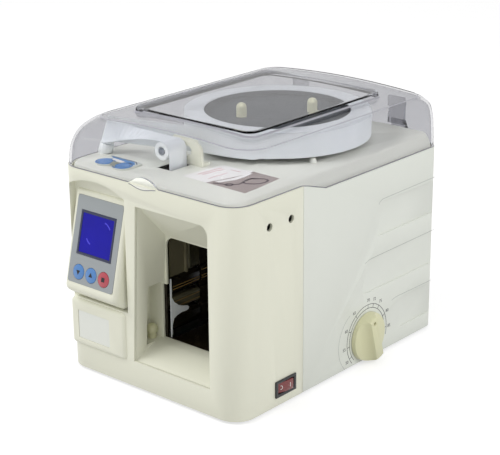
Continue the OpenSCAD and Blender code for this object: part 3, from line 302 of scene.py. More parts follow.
def printed(name, base, second):
    """Printing ink."""
    return moulded(name, base, second, gloss=0.5, grain=0.1, dust=0.0)


FINISH = {
    "casing_cream": moulded("casing_cream", "E9E9D8", "E0E0CC", gloss=0.62),
    "casing_white": moulded("casing_white", "E4E7DF", "DADDD3", gloss=0.6),
    "deck_white": moulded("deck_white", "E8E9E0", "DEDFD3", gloss=0.68, grain=0.12),
    "clear_lid": clear_acrylic("clear_lid"),
    "plate_steel": metal("plate_steel", "B9BDC2", "9CA1A7", 0.3),
    "bright_steel": metal("bright_steel", "E3E7EA", "C2C8CE", 0.14, (20.0, 700.0, 700.0)),
    "black_steel": metal("black_steel", "332C20", "17120D", 0.16, (600.0, 12.0, 600.0), 0.4),
    "bronze_guide": metal("bronze_guide", "A39C80", "4A4534", 0.2, (90.0, 8.0, 8.0), 0.45),
    "black_rubber": moulded("black_rubber", "1C1C1E", "2A2A2C", gloss=0.2),
    "overlay_grey": moulded("overlay_grey", "9CA1A3", "969C9F", gloss=0.55, grain=0.1),
    "display_dark": moulded("display_dark", "2B3150", "20253E", gloss=0.75, grain=0.05),
    "display_blue": lit_display("display_blue"),
    "board_green": moulded("board_green", "1E6B3A", "17552E", gloss=0.6),
    "button_blue": moulded("button_blue", "4F84C2", "3F74B4", gloss=0.78, grain=0.08, coat=0.3),
    "button_red": moulded("button_red", "B5434F", "A23642", gloss=0.78, grain=0.08, coat=0.3),
    "label_white": moulded("label_white", "E9EBE4", "E2E5DC", gloss=0.5, grain=0.05),
    "coil_brown": metal("coil_brown", "A5713C", "6E4520", 0.35, (20.0, 900.0, 900.0), 0.6),
    "knob_cream": moulded("knob_cream", "DEDDB8", "D2D0A6", gloss=0.66, grain=0.12),
    "switch_black": moulded("switch_black", "17181A", "222326", gloss=0.7, grain=0.1),
    "switch_red": moulded("switch_red", "7A1A1A", "5C1010", gloss=0.86, grain=0.03, coat=0.5),
    "paper_white": paper("paper_white", "EEF1F3", "DDE2E6"),
    "hub_grey": moulded("hub_grey", "3C4146", "32363B", gloss=0.4, grain=0.3),
    "roller_white": moulded("roller_white", "EEF1F1", "E2E6E6", gloss=0.74, grain=0.05),
    "roller_black": moulded("roller_black", "1E1E20", "2C2C2F", gloss=0.25),
    "surround_blue": moulded("surround_blue", "D5D8D0", "C9CCC4", gloss=0.6, grain=0.05),
}
INK_DARK = printed("ink_dark", "3A3D40", "303336")
# faint ink for the printed arc by the dial, and painted shade for the recesses' upper edges
FAINT_INK_AND_SHADE = printed("faint_ink_and_shade", "B3B7B2", "A8ACA7")
INK_WHITE = printed("ink_white", "E8E4E0", "DCD8D4")
INK_BLACK = printed("ink_black", "101114", "1A1B20")
INK_GLOW = printed("ink_glow", "4A45D8", "3D38CC")
INK_OLIVE = printed("ink_olive", "8B8F84", "7E8278")
INK_PINK = printed("ink_pink", "D99AA0", "CC8A92")
INK_SHEET = printed("ink_sheet", "F4F2F0", "EDEAE8")
INK_TAUPE = printed("ink_taupe", "A89C98", "988C88")
INK_PLUM = printed("ink_plum", "5D4F55", "4C4047")
INK_SLATE = printed("ink_slate", "5B6675", "4E5968")
INK_SKY = printed("ink_sky", "5E8FC9", "5486C2")
INK_GOLD = printed("ink_gold", "8A6F3C", "6E5528")
# painted highlight: a white brighter than the casing, for the patch under the finger notch
SCOOP_HIGHLIGHT = moulded("painted_scoop_highlight", "F2F2E8", "EAEADF", gloss=0.62)
# painted reflection: a pale non-metal colour in place of the fin's bright steel sheen
FIN_PAINTED_SHEEN = metal("fin_painted_sheen", "F0F3F7", "DDE2E8", 0.35, (20.0, 300.0, 300.0), 0.0)
# painted shade: greys for the dark lines along the lid's lower edge, its panel foot and crease, and under
# the finger notch
EDGE_SHADE_GREY = moulded("painted_edge_shade", "7E7E86", "6C6C74", gloss=0.8, grain=0.05, dust=0.0)
PANEL_SHADE_GREY = moulded("painted_panel_shade", "A6A6AE", "96969E", gloss=0.8, grain=0.05, dust=0.0)
SHEET_PALE = metal("sheet_pale", "B9B49C", "6E6850", 0.3, (20.0, 260.0, 4.0), 0.3)
SHEET_OLIVE = metal("sheet_olive", "6F6A52", "2E2A1E", 0.25, (20.0, 260.0, 4.0), 0.3)
# painted shade: the dark inside the tape's slot in the deck
SLOT_SHADE = moulded("painted_slot_shade", "2A2620", "1C1915", gloss=0.3, dust=0.0)


def paint(obj, material):
    obj.data.materials.clear()
    obj.data.materials.append(material)


for name, obj in frame["nodes"].items():
    paint(obj, FINISH[SLOT[name]])


# ---- making pieces -----------------------------------------------------------------------------
def linked(name, mesh):
    obj = bpy.data.objects.new(name, mesh)
    bpy.context.collection.objects.link(obj)
    return obj


def settle(obj, body, slot, material=None, sharp=35):
    """Shades, paints and hangs a finished piece on its body."""
    obj.data.shade_smooth()
    obj.data.set_sharp_from_angle(angle=math.radians(sharp))
    paint(obj, material or FINISH[slot])
    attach(obj, body)
    return obj


def baked(obj):
    """The object's mesh with its modifiers in it, in place of them."""
    view = bpy.context.evaluated_depsgraph_get()
    mesh = bpy.data.meshes.new_from_object(obj.evaluated_get(view))
    obj.modifiers.clear()
    old = obj.data
    obj.data = mesh
    bpy.data.meshes.remove(old)
    return obj


def solid(name, corners, faces, body, slot, material=None, sharp=35):
    """A piece from corners in casing millimetres."""
    mesh = bpy.data.meshes.new(name)
    mesh.from_pydata([spot(*corner) for corner in corners], [], faces)
    mesh.update()
    return settle(linked(name, mesh), body, slot, material, sharp)


def block(name, low, high, body, slot, material=None):
    """A plain box between two corners."""
    corners = [(a, b, c) for a in (low[0], high[0]) for b in (low[1], high[1]) for c in (low[2], high[2])]
    faces = [(0, 1, 3, 2), (4, 6, 7, 5), (0, 4, 5, 1), (2, 3, 7, 6), (0, 2, 6, 4), (1, 5, 7, 3)]
    return solid(name, corners, faces, body, slot, material)


def slab(name, x0, x1, outline, body, slot, material=None):
    """A piece with one outline in (y, z), from x0 to x1."""
    n = len(outline)
    corners = [(x, y, z) for x in (x0, x1) for y, z in outline]
    faces = [[i, n + i, n + (i + 1) % n, (i + 1) % n] for i in range(n)]
    faces += [list(range(n)), [n + i for i in reversed(range(n))]]
    return solid(name, corners, faces, body, slot, material)


def rounded_copy(source, name, edge):
    """A node's own shape with its sharp edges broken by a small round."""
    mesh = frame["nodes"][source].data.copy()
    shape = bmesh.new()
    shape.from_mesh(mesh)
    bmesh.ops.remove_doubles(shape, verts=shape.verts, dist=0.00001)
    bmesh.ops.dissolve_limit(shape, angle_limit=math.radians(0.5), verts=shape.verts, edges=shape.edges)
    shape.to_mesh(mesh)
    shape.free()
    for layer in list(mesh.attributes):
        if layer.name == "custom_normal":
            mesh.attributes.remove(layer)
    mesh.name = name
    obj = linked(name, mesh)
    if edge:
        bevel = obj.modifiers.new("edge", "BEVEL")
        bevel.width = edge * MM
        bevel.segments = 2
        bevel.limit_method = "ANGLE"
        bevel.angle_limit = math.radians(40)
        baked(obj)
    settle(obj, BODY[source], SLOT[source])
    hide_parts(source)
    return obj


def flat_marks(name, outlines, place, thick, body, slot, material):
    """Thin marks from closed outlines in (u, v), raised by thick over the face that place() gives."""
    corners, faces = [], []
    for outline in outlines:
        first = len(corners)
        n = len(outline)
        corners += [place(u, v, thick) for u, v in outline]
        corners += [place(u, v, 0) for u, v in outline]
        faces.append([first + i for i in range(n)])
        faces.append([first + n + i for i in reversed(range(n))])
        faces += [[first + i, first + n + i, first + n + (i + 1) % n, first + (i + 1) % n]
                  for i in range(n)]
    return solid(name, corners, faces, body, slot, material, 30)


def box_outline(u, v, wide, high):
    return [(u - wide / 2, v - high / 2), (u + wide / 2, v - high / 2),
            (u + wide / 2, v + high / 2), (u - wide / 2, v + high / 2)]


def arc_band(u, v, r, width, start, end, steps=72):
    """A stretch of a ring, in degrees, as quads' outlines."""
    def on_ring(reach, turn):
        return (u + reach * math.cos(turn), v + reach * math.sin(turn))

    turns = [math.radians(start + (end - start) * i / steps) for i in range(steps + 1)]
    inner, outer = r - width / 2, r + width / 2
    return [[on_ring(inner, a), on_ring(outer, a), on_ring(outer, b), on_ring(inner, b)]
            for a, b in zip(turns, turns[1:])]


def stroke(points, width):
    """Quads along a path of points, each as wide as the stroke."""
    quads = []
    for (u0, v0), (u1, v1) in zip(points, points[1:]):
        length = math.hypot(u1 - u0, v1 - v0)
        du, dv = -(v1 - v0) / length * width / 2, (u1 - u0) / length * width / 2
        quads.append([(u0 + du, v0 + dv), (u0 - du, v0 - dv), (u1 - du, v1 - dv), (u1 + du, v1 + dv)])
    return quads


def ellipse(u, v, a, b, turn=0.0):
    steps = 36
    c, s = math.cos(math.radians(turn)), math.sin(math.radians(turn))
    return [(u + a * math.cos(t) * c - b * math.sin(t) * s, v + a * math.cos(t) * s + b * math.sin(t) * c)
            for t in [2 * math.pi * i / steps for i in range(steps + 1)]]


# ---- the faces that carry marks ----------------------------------------------------------------
def on_right_side(y, z, out):
    return (HALF_W + LIFT / 2 + out, y, z)


def on_deck(x, y, out):
    return (x, y, DECK_Z + LIFT / 2 + out)


PANEL_AT = (-66, -150, 181)
PANEL_TILT = math.radians(13.9)


def on_panel(x, s, out):
    """A place on the sloping panel: across, down the slope as a negative, and outwards."""
    down, forward = -s, out
    return (PANEL_AT[0] + x,
            PANEL_AT[1] - down * math.sin(PANEL_TILT) - forward * math.cos(PANEL_TILT),
            PANEL_AT[2] - down * math.cos(PANEL_TILT) + forward * math.sin(PANEL_TILT))


# ---- lid ---------------------------------------------------------------------------------------
RIM_LOW = -2.7
FULL_WALL = 14
CREASE = 40
CROWN_RISE = 5
# level by level: insets of the sides, front and rear, height over the deck, front and rear corner radii
LID_LEVELS = [
    (0.8, 0.6, 0.6, RIM_LOW, 22, 12),
    (0.8, 0.8, 0.8, 2, 22, 12),
    (1.4, 2.2, 1.2, FULL_WALL, 22.5, 12.5),
    (2.2, 5.8, 2, 23, 23, 13),
    (3.8, 11.5, 3.6, 30.5, 24, 13),
    (6.6, 18, 6.4, 35.4, 26, 14),
    (9.6, 24.5, 9.4, 38.4, 28, 15),
    (13, 31, 13, CREASE, 30, 16),
]
PANEL_X = 78
PANEL_Y = (-95, 110)
PANEL_R = 12
PANEL_TOP = 48
LID_WALL = 2.5
NOTCH_HALF = 19
NOTCH_UP = 8


def round_ring(half, y0, y1, rf, rb, arc_steps=12, x_steps=56, y_steps=40):
    """Points round a rounded rectangle, in even steps."""
    def corner(cx, cy, r, start):
        return [(cx + r * math.cos(math.radians(start + 90 * i / arc_steps)),
                 cy + r * math.sin(math.radians(start + 90 * i / arc_steps))) for i in range(arc_steps + 1)]

    def edge(a, b, steps):
        return [(a[0] + (b[0] - a[0]) * i / steps, a[1] + (b[1] - a[1]) * i / steps)
                for i in range(1, steps)]

    corners = [corner(half - rb, y1 - rb, rb, 0), corner(rb - half, y1 - rb, rb, 90),
               corner(rf - half, y0 + rf, rf, 180), corner(half - rf, y0 + rf, rf, 270)]
    ring = []
    for i, points in enumerate(corners):
        ring += points
        ring += edge(points[-1], corners[(i + 1) % 4][0], x_steps if i % 2 == 0 else y_steps)
    return ring


def between_levels(t):
    """A level of the lid's wall at t from 0 to 1, eased through the given ones."""
    at = t * (len(LID_LEVELS) - 1)
    k = min(int(at), len(LID_LEVELS) - 2)
    f = at - k
    p = [LID_LEVELS[max(0, min(len(LID_LEVELS) - 1, k + i))] for i in (-1, 0, 1, 2)]
    return [0.5 * (2 * b + (c - a) * f + (2 * a - 5 * b + 4 * c - d) * f * f
                   + (3 * b - a - 3 * c + d) * f ** 3)
            for a, b, c, d in zip(*p)]


def lid_rim(x, y):
    """Height of the lid's lower edge: it follows the step between the casings and the finger notch."""
    if y > SEAM_Y + NOTCH_L:
        return REAR_H + 0.3
    if y > SEAM_Y:
        return FRONT_H + 0.3 + (REAR_H - FRONT_H) * (y - SEAM_Y) / NOTCH_L
    if in_notch(x, y):
        r = (NOTCH_HALF ** 2 + NOTCH_UP ** 2) / (2 * NOTCH_UP)
        return max(FRONT_H + 0.3, FRONT_H + NOTCH_UP - r + math.sqrt(r * r - x * x))
    return FRONT_H + 0.3


def in_notch(x, y):
    return y < -HALF_D + 12 and abs(x) < NOTCH_HALF


def crown(x):
    return CROWN_RISE * max(0, 1 - (x / (HALF_W - 13)) ** 2)


def lid_height(x, y, up):
    """The outer face's height where the wall is up millimetres over the deck."""
    low = max(0, 1 - (up - RIM_LOW) / (FULL_WALL - RIM_LOW))
    return DECK_Z + up + (lid_rim(x, y) - DECK_Z - RIM_LOW) * low + max(0, up) / CREASE * crown(x)


def level_ring(level, out=0.0):
    """The outline of a level of the lid's wall, out millimetres outside it."""
    side, front, rear, _, rf, rb = level
    return round_ring(HALF_W - side + out, -HALF_D + front - out, HALF_D - rear + out, rf, rb)


def wall_ring(t, lift=0.0):
    """The lid's outer face round the level at t, lifted a little where a mark lies on it."""
    level = between_levels(t)
    return [(x, y, lid_height(x, y, level[3]) + lift) for x, y in level_ring(level)]


def skinned(name, rings, closed):
    """A smooth skin over equal rings, the last one filled if closed."""
    n = len(rings[0])
    faces = [[k * n + i, k * n + (i + 1) % n, (k + 1) * n + (i + 1) % n, (k + 1) * n + i]
             for k in range(len(rings) - 1) for i in range(n)]
    if closed:
        faces.append([(len(rings) - 1) * n + i for i in range(n)])
    mesh = bpy.data.meshes.new(name)
    mesh.from_pydata([spot(*p) for ring in rings for p in ring], [], faces)
    return linked(name, mesh)


def thickened(obj, thick, offset=-1):
    wall = obj.modifiers.new("wall", "SOLIDIFY")
    wall.thickness = thick * MM
    wall.offset = offset
    wall.use_even_offset = True
    return baked(obj)


def make_lid():
    wall_steps = 35
    rings = [wall_ring(i / wall_steps) for i in range(wall_steps + 1)]
    edge = [(x, y) for x, y, z in rings[-1]]
    foot = round_ring(PANEL_X, *PANEL_Y, PANEL_R, PANEL_R)
    steps = 7
    for i in range(1, steps + 1):
        mixed = [(a[0] + (b[0] - a[0]) * i / steps, a[1] + (b[1] - a[1]) * i / steps)
                 for a, b in zip(edge, foot)]
        rings.append([(x, y, DECK_Z + CREASE + crown(x)) for x, y in mixed])
    for inset, z in ((0.4, PANEL_TOP - 0.8), (0.9, PANEL_TOP - 0.15), (1.8, PANEL_TOP), (4, PANEL_TOP),
                     (8, PANEL_TOP)):
        ring = round_ring(PANEL_X - inset, PANEL_Y[0] + inset, PANEL_Y[1] - inset, PANEL_R, PANEL_R)
        rings.append([(x, y, DECK_Z + z) for x, y in ring])
    obj = thickened(skinned("lid_shell", rings, True), LID_WALL)
    settle(obj, "lid_assembly", "clear_lid", sharp=30)
    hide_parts("lid")


def lid_band(name, rings, thick, material):
    obj = thickened(skinned(name, rings, False), thick, 1)
    settle(obj, "lid_assembly", "clear_lid", material)


def make_lid_edges():
    """Painted lines of shade along the cut lower edge, the foot of the raised panel and the crease round the
    top.
    """
    lowest = level_ring(LID_LEVELS[0], 0.04)
    thin = [0.2 if in_notch(x, y) or x < 5 - HALF_W else 1 for x, y in lowest]
    lid_band("lid_lower_edge", [[(x, y, lid_rim(x, y) + rise * share) for (x, y), share in zip(lowest, thin)]
                                for rise in (0.0, 0.75)], 0.3, EDGE_SHADE_GREY)
    rings = []
    for out, rise in ((0.9, 0.0), (0.3, 0.9), (0.1, 1.7)):
        ring = round_ring(PANEL_X + out, PANEL_Y[0] - out, PANEL_Y[1] + out, PANEL_R, PANEL_R)
        rings.append([(x, y, DECK_Z + CREASE + crown(x) + rise) for x, y in ring])
    lid_band("lid_panel_foot", rings, 0.3, PANEL_SHADE_GREY)
    lid_band("lid_crease", [wall_ring(t, 0.15) for t in (0.95, 1.0)], 0.1, PANEL_SHADE_GREY)


HINGE_X = 64
HINGE_Y = HALF_D + 3.5
HINGE_Z = REAR_H + 3.5
BOSS_R = 3.6
KNUCKLE_HALF = 8.7
TONGUE_Y = (HALF_D - 2.2, HALF_D - 0.6)
TONGUE_TOP = HINGE_Z + 16
LUMP_HALF = 10
LUMP_Y = (HALF_D - 7.5, HALF_D - 3.6)
LUMP_Z = (DECK_Z + 2, DECK_Z + 30)


def make_lid_lump(name, x):
    """A thick place inside the lid's rear wall over a hinge."""
    block(name, (x - LUMP_HALF, LUMP_Y[0], LUMP_Z[0]), (x + LUMP_HALF, LUMP_Y[1], LUMP_Z[1]),
          "lid_assembly", "clear_lid")


def make_lid_knuckle(name, x):
    """The knuckle of a hinge with the tongue that joins it to the lid's rear wall."""
    steps = 20
    turns = [math.radians(-150 + 210 * i / steps) for i in range(steps + 1)]
    outline = [(HINGE_Y + BOSS_R * math.cos(a), HINGE_Z + BOSS_R * math.sin(a)) for a in turns]
    outline += [(TONGUE_Y[1], TONGUE_TOP), (TONGUE_Y[0], TONGUE_TOP), (TONGUE_Y[0], REAR_H + 1)]
    obj = slab(name, x - KNUCKLE_HALF, x + KNUCKLE_HALF, outline, "lid_assembly", "clear_lid")
    shape = bmesh.new()
    shape.from_mesh(obj.data)
    bmesh.ops.recalc_face_normals(shape, faces=shape.faces)
    shape.to_mesh(obj.data)
    shape.free()


make_lid()
for hand, at in (("left", -HINGE_X), ("right", HINGE_X)):
    make_lid_knuckle(f"lid_knuckle_{hand}", at)
make_lid_edges()
for hand, at in (("left", -HINGE_X), ("right", HINGE_X)):
    make_lid_lump(f"lid_lump_{hand}", at)


# ---- casing, panel and mouth -------------------------------------------------------------------
for source, name, edge in (
    ("front_casing", "front_shell", 1.0),
    ("rear_casing", "rear_shell", 0.8),
    ("top_deck", "deck_shell", 0.5),
    ("display_housing", "panel_housing", 0.4),
    ("keypad_overlay", "panel_film", 0.0),
    ("lcd_frame", "display_frame", 0.3),
    ("lower_cover", "front_cover", 0.4),
    ("mouth_liner", "mouth_funnel", 0.6),
    ("sensor_boss", "pocket_boss", 0.5),
    ("button_down", "down_cap", 0.3),
    ("button_up", "up_cap", 0.3),
    ("button_clear", "clear_cap", 0.3),
    ("switch_bezel", "switch_body", 0.4),
    ("power_rocker", "rocker_cap", 0.4),
    ("reel_table", "reel_disc", 0.4),
    ("reel_hub", "reel_core", 0.6),
    ("guide_roller", "post_sleeve", 0.4),
    ("guide_post", "post_stem", 0.3),
    ("turn_roller", "top_roller_drum", 0.4),
    ("turn_screw", "top_roller_screw", 0.15),
    ("turn_bracket", "roller_bracket", 0.5),
    ("rubber_feet", "foot_pads", 0.5),
    ("side_screws", "frame_screws", 0.3),
    ("upper_clamp", "upper_jaw", 0.3),
    ("tape_sealer", "middle_jaw", 0.3),
    ("lower_clamp", "lower_jaw", 0.3),
    ("side_guide", "left_rails", 0.3),
    ("note_stop", "stop_plate", 0.2),
    ("tape_track", "tape_arch", 0.3),
):
    rounded_copy(source, name, edge)


DIAL = (39.4, 25.5)
KNOB_SWING = math.radians(-12)
KNOB_SHARE = 0.96


def turned_knob():
    """The knob with its grip swung to where the pointer stands, a little slimmer than its envelope."""
    obj = rounded_copy("dial_knob", "dial_cap", 0.8)
    axis = spot(0, *DIAL)
    c, s = math.cos(KNOB_SWING) * KNOB_SHARE, math.sin(KNOB_SWING) * KNOB_SHARE
    for vertex in obj.data.vertices:
        y, z = vertex.co.y - axis.y, vertex.co.z - axis.z
        vertex.co.y, vertex.co.z = axis.y + y * c - z * s, axis.z + y * s + z * c


INLET_DEPTH = 6


def black_inlet():
    """The supply unit with its inlet, the part near the rear wall, in black."""
    obj = rounded_copy("power_supply", "supply_unit", 0.0)
    obj.data.materials.append(FINISH["switch_black"])
    limit = spot(0, HALF_D - INLET_DEPTH, 0).y
    for face in obj.data.polygons:
        if max(obj.data.vertices[i].co.y for i in face.vertices) > limit:
            face.material_index = 1


turned_knob()
black_inlet()


# ---- geometry node trees -----------------------------------------------------------------------
def new_tree(name, inputs):
    tree = bpy.data.node_groups.new(name, "GeometryNodeTree")
    for label, kind, value in inputs:
        socket = tree.interface.new_socket(label, in_out="INPUT", socket_type=kind)
        socket.default_value = value
    tree.interface.new_socket("Geometry", in_out="OUTPUT", socket_type="NodeSocketGeometry")
    return tree, tree.nodes.new("NodeGroupInput"), tree.nodes.new("NodeGroupOutput")


def run_tree(name, tree, **values):
    """An object made by a tree, as a plain mesh."""
    obj = linked(name, bpy.data.meshes.new(name))
    modifier = obj.modifiers.new("tree", "NODES")
    modifier.node_group = tree
    sockets = {item.name: item.identifier for item in tree.interface.items_tree if item.in_out == "INPUT"}
    for label, value in values.items():
        modifier[sockets[label.replace("_", " ")]] = value
    obj.update_tag()
    baked(obj)
    return obj


def make_windings_tree(material):
    """A band of tape wound from the inside out, with a fine gap between its turns."""
    tree, given, out = new_tree("tape_windings", [
        ("Turns", "NodeSocketFloat", 20.0), ("Inner Radius", "NodeSocketFloat", 0.074),
        ("Outer Radius", "NodeSocketFloat", 0.095), ("Band Thickness", "NodeSocketFloat", 0.0008),
        ("Band Width", "NodeSocketFloat", 0.024), ("Middle", "NodeSocketVector", (0, 0, 0))])
    spiral = node(tree, "GeometryNodeCurveSpiral")
    spiral.inputs["Resolution"].default_value = 96
    spiral.inputs["Height"].default_value = 0.0
    tree.links.new(given.outputs["Turns"], spiral.inputs["Rotations"])
    tree.links.new(given.outputs["Inner Radius"], spiral.inputs["Start Radius"])
    tree.links.new(given.outputs["Outer Radius"], spiral.inputs["End Radius"])
    profile = node(tree, "GeometryNodeCurvePrimitiveQuadrilateral", mode="RECTANGLE")
    tree.links.new(given.outputs["Band Thickness"], profile.inputs["Width"])
    tree.links.new(given.outputs["Band Width"], profile.inputs["Height"])
    swept = node(tree, "GeometryNodeCurveToMesh")
    swept.inputs["Fill Caps"].default_value = True
    tree.links.new(spiral.outputs[0], swept.inputs["Curve"])
    tree.links.new(profile.outputs[0], swept.inputs["Profile Curve"])
    moved = node(tree, "GeometryNodeTransform")
    tree.links.new(swept.outputs[0], moved.inputs["Geometry"])
    tree.links.new(given.outputs["Middle"], moved.inputs["Translation"])
    finish_tree(tree, moved.outputs[0], out, material)
    return tree


def finish_tree(tree, geometry, out, material):
    real = node(tree, "GeometryNodeRealizeInstances")
    dressed = node(tree, "GeometryNodeSetMaterial")
    dressed.inputs["Material"].default_value = material
    tree.links.new(geometry, real.inputs[0])
    tree.links.new(real.outputs[0], dressed.inputs["Geometry"])
    tree.links.new(dressed.outputs[0], out.inputs[0])


ROLL_LOW, ROLL_HIGH = span("tape_roll")
ROLL_X = (ROLL_LOW.x + ROLL_HIGH.x) / 2
ROLL_Y = (ROLL_LOW.y + ROLL_HIGH.y) / 2
ROLL_R = (ROLL_HIGH.x - ROLL_LOW.x) / 2
ROLL_BORE = 74.2
TURNS = 22


def make_windings():
    pitch = (ROLL_R - ROLL_BORE) / (TURNS + 1)
    tree = make_windings_tree(FINISH["paper_white"])
    obj = run_tree(
        "tape_windings", tree, Turns=float(TURNS),
        Inner_Radius=(ROLL_BORE + pitch / 2) * MM, Outer_Radius=(ROLL_R - pitch / 2) * MM,
        Band_Thickness=pitch * 0.93 * MM, Band_Width=(ROLL_HIGH.z - ROLL_LOW.z) * MM,
        Middle=spot(ROLL_X, ROLL_Y, (ROLL_LOW.z + ROLL_HIGH.z) / 2))
    settle(obj, "reel", "paper_white", sharp=40)
    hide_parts("tape_roll")


make_windings()


# ---- marks -------------------------------------------------------------------------------------
SCALE_OUTER = 33.3
SCALE_INNER = 29.3
SCALE_START = -16
SCALE_END = 222
NUMBER_R = 38.0
FAINT_ARC_AT = (27, 25.6)
FAINT_ARC_R = 34.8
FAINT_ARC_SPAN = (118, 226)
TICK_HALF = 0.28
FIGURE_LOWEST = 4
DIAL_NUMBERS = [(50, 210), (55, 185.5), (60, 156), (65, 125), (70, 88), (72, 72), (75, 54), (80, 26),
                (85, -2)]


def make_dial_scale():
    bands = arc_band(*DIAL, SCALE_OUTER, 0.55, SCALE_START, SCALE_END)
    bands += arc_band(*DIAL, SCALE_INNER, 0.55, SCALE_START, SCALE_END)
    half = math.degrees(TICK_HALF / SCALE_OUTER)
    middle = (SCALE_INNER + SCALE_OUTER) / 2
    for _, angle in DIAL_NUMBERS:
        bands += arc_band(*DIAL, middle, SCALE_OUTER - SCALE_INNER, angle - half, angle + half, 1)
    flat_marks("dial_scale", bands, on_right_side, LIFT, "casing", "casing_white", INK_DARK)
    faint = arc_band(*FAINT_ARC_AT, FAINT_ARC_R, 0.4, *FAINT_ARC_SPAN)
    flat_marks("dial_front_arc", faint, on_right_side, LIFT, "casing", "casing_white", FAINT_INK_AND_SHADE)


def make_figure(name, text, height, place):
    """Raised figures on the right side: place() takes across, up and outwards in millimetres."""
    curve = bpy.data.curves.new(name, "FONT")
    curve.body = text
    curve.size = height * 1.4
    curve.align_x = "CENTER"
    curve.align_y = "CENTER"
    curve.extrude = LIFT / 2
    curve.resolution_u = 4
    writer = linked(name + "_writer", curve)
    view = bpy.context.evaluated_depsgraph_get()
    mesh = bpy.data.meshes.new_from_object(writer.evaluated_get(view))
    bpy.data.objects.remove(writer)
    bpy.data.curves.remove(curve)
    for vertex in mesh.vertices:
        u, v, w = vertex.co
        vertex.co = spot(*place(u, v, w + LIFT / 2))
    obj = linked(name, mesh)
    return settle(obj, "casing", "casing_white", INK_DARK)


def make_dial_numbers():
    for value, angle in DIAL_NUMBERS:
        y = DIAL[0] + NUMBER_R * math.cos(math.radians(angle))
        z = DIAL[1] + NUMBER_R * math.sin(math.radians(angle))
        z = max(z, FIGURE_LOWEST)

        def place(u, v, w, y=y, z=z):
            return on_right_side(y + u, z + v, w)

        make_figure(f"dial_figure_{value}", str(value), 3.4, place)


make_dial_scale()
make_dial_numbers()

CAP_OUT = 0.9
BUTTON_S = 75.6
BUTTON_PITCH = 17.4


def panel_face(x, s, out):
    return on_panel(x, s, CAP_OUT + 0.02 + out)


def triangle(x, s, size, up):
    turns = [math.radians((90 if up else -90) + k * 120) for k in range(3)]
    return [(x + size * math.cos(turn), s + size * math.sin(turn)) for turn in turns]


for name, outline, body in (
    ("down_arrow", triangle(-BUTTON_PITCH, -BUTTON_S, 3.1, False), "key_down"),
    ("up_arrow", triangle(0, -BUTTON_S, 3.1, True), "key_up"),
    ("clear_square", box_outline(BUTTON_PITCH, -BUTTON_S, 4.4, 4.4), "key_clear"),
):
    flat_marks(name, [outline], panel_face, LIFT, body, "display_dark", INK_BLACK)


GLASS_OUT = 0.03


def on_glass(x, s, out):
    return on_panel(x, s, GLASS_OUT + out)


def make_display_marks():
    """Faint lit strokes on the display, of no meaning."""
    upper = [(9 + 0.5 * i, -21.5 - 5 * (i / 16) ** 2) for i in range(17)]
    lower = [(-13 + 0.5 * i, -41 - 4.5 * math.sin(i / 12 * math.pi / 2)) for i in range(13)]
    flat_marks("display_strokes", stroke(upper, 1.3) + stroke(lower, 1.6), on_glass, LIFT,
               "casing", "display_dark", INK_GLOW)


make_display_marks()


SWITCH_Y = -91
ROCKER_TILT = math.radians(9)
ROCKER_IN = 4
ROCKER_REACH = 5.75
ROCKER_BOW = 120


def make_rocker_marks():
    """The line and the ring of an on and off switch, on the two halves of the rocker."""
    low, high = span("power_rocker")
    z = (low.z + high.z) / 2
    c, s = math.cos(-ROCKER_TILT), math.sin(-ROCKER_TILT)

    def on_rocker(across, v, out):
        reach = ROCKER_REACH - across * across / ROCKER_BOW + out
        return (HALF_W - ROCKER_IN + reach * c - across * s, SWITCH_Y + reach * s + across * c, z + v)

    for name, outlines in (("on_mark", [box_outline(6, 0, 0.7, 4.2)]),
                           ("off_mark", arc_band(-6, 0, 1.9, 0.6, 0, 360, 32))):
        flat_marks(name, outlines, on_rocker, LIFT, "rocker", "switch_red", INK_WHITE)


make_rocker_marks()


# ---- keys, sheet and slot on the deck ----------------------------------------------------------
KEY_X = (-73.4, -50)
KEY_Y = -135
KEY_R = 7.6
KEY_TOP = 2.1
SURROUND_T = 1.8


def on_surround(x, y, out):
    return (x, y, DECK_Z + SURROUND_T + LIFT / 2 + out)


def turned(name, x, y, profile, body, slot, steps=64):
    """A turned piece round an upright axis, from (radius, height) points of its closed outline."""
    n = len(profile)
    corners = [(x + r * math.cos(2 * math.pi * i / steps), y + r * math.sin(2 * math.pi * i / steps), z)
               for i in range(steps) for r, z in profile]
    faces = [(i * n + k, (i + 1) % steps * n + k, (i + 1) % steps * n + (k + 1) % n, i * n + (k + 1) % n)
             for i in range(steps) for k in range(n)]
    return solid(name, corners, faces, body, slot)


def make_deck_key(source, name, x):
    """A flat round key that stands a little over its plate."""
    top = DECK_Z + KEY_TOP
    profile = [(0.01, top - 1.2), (KEY_R - 0.2, top - 1.2), (KEY_R, top - 1.0), (KEY_R, top - 0.3),
               (KEY_R - 0.3, top), (0.01, top)]
    obj = turned(name, x, KEY_Y, profile, BODY[source], SLOT[source])
    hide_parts(source)


def on_plate_ink(x, y, out):
    return on_surround(x, y, LIFT + 0.02 + out)


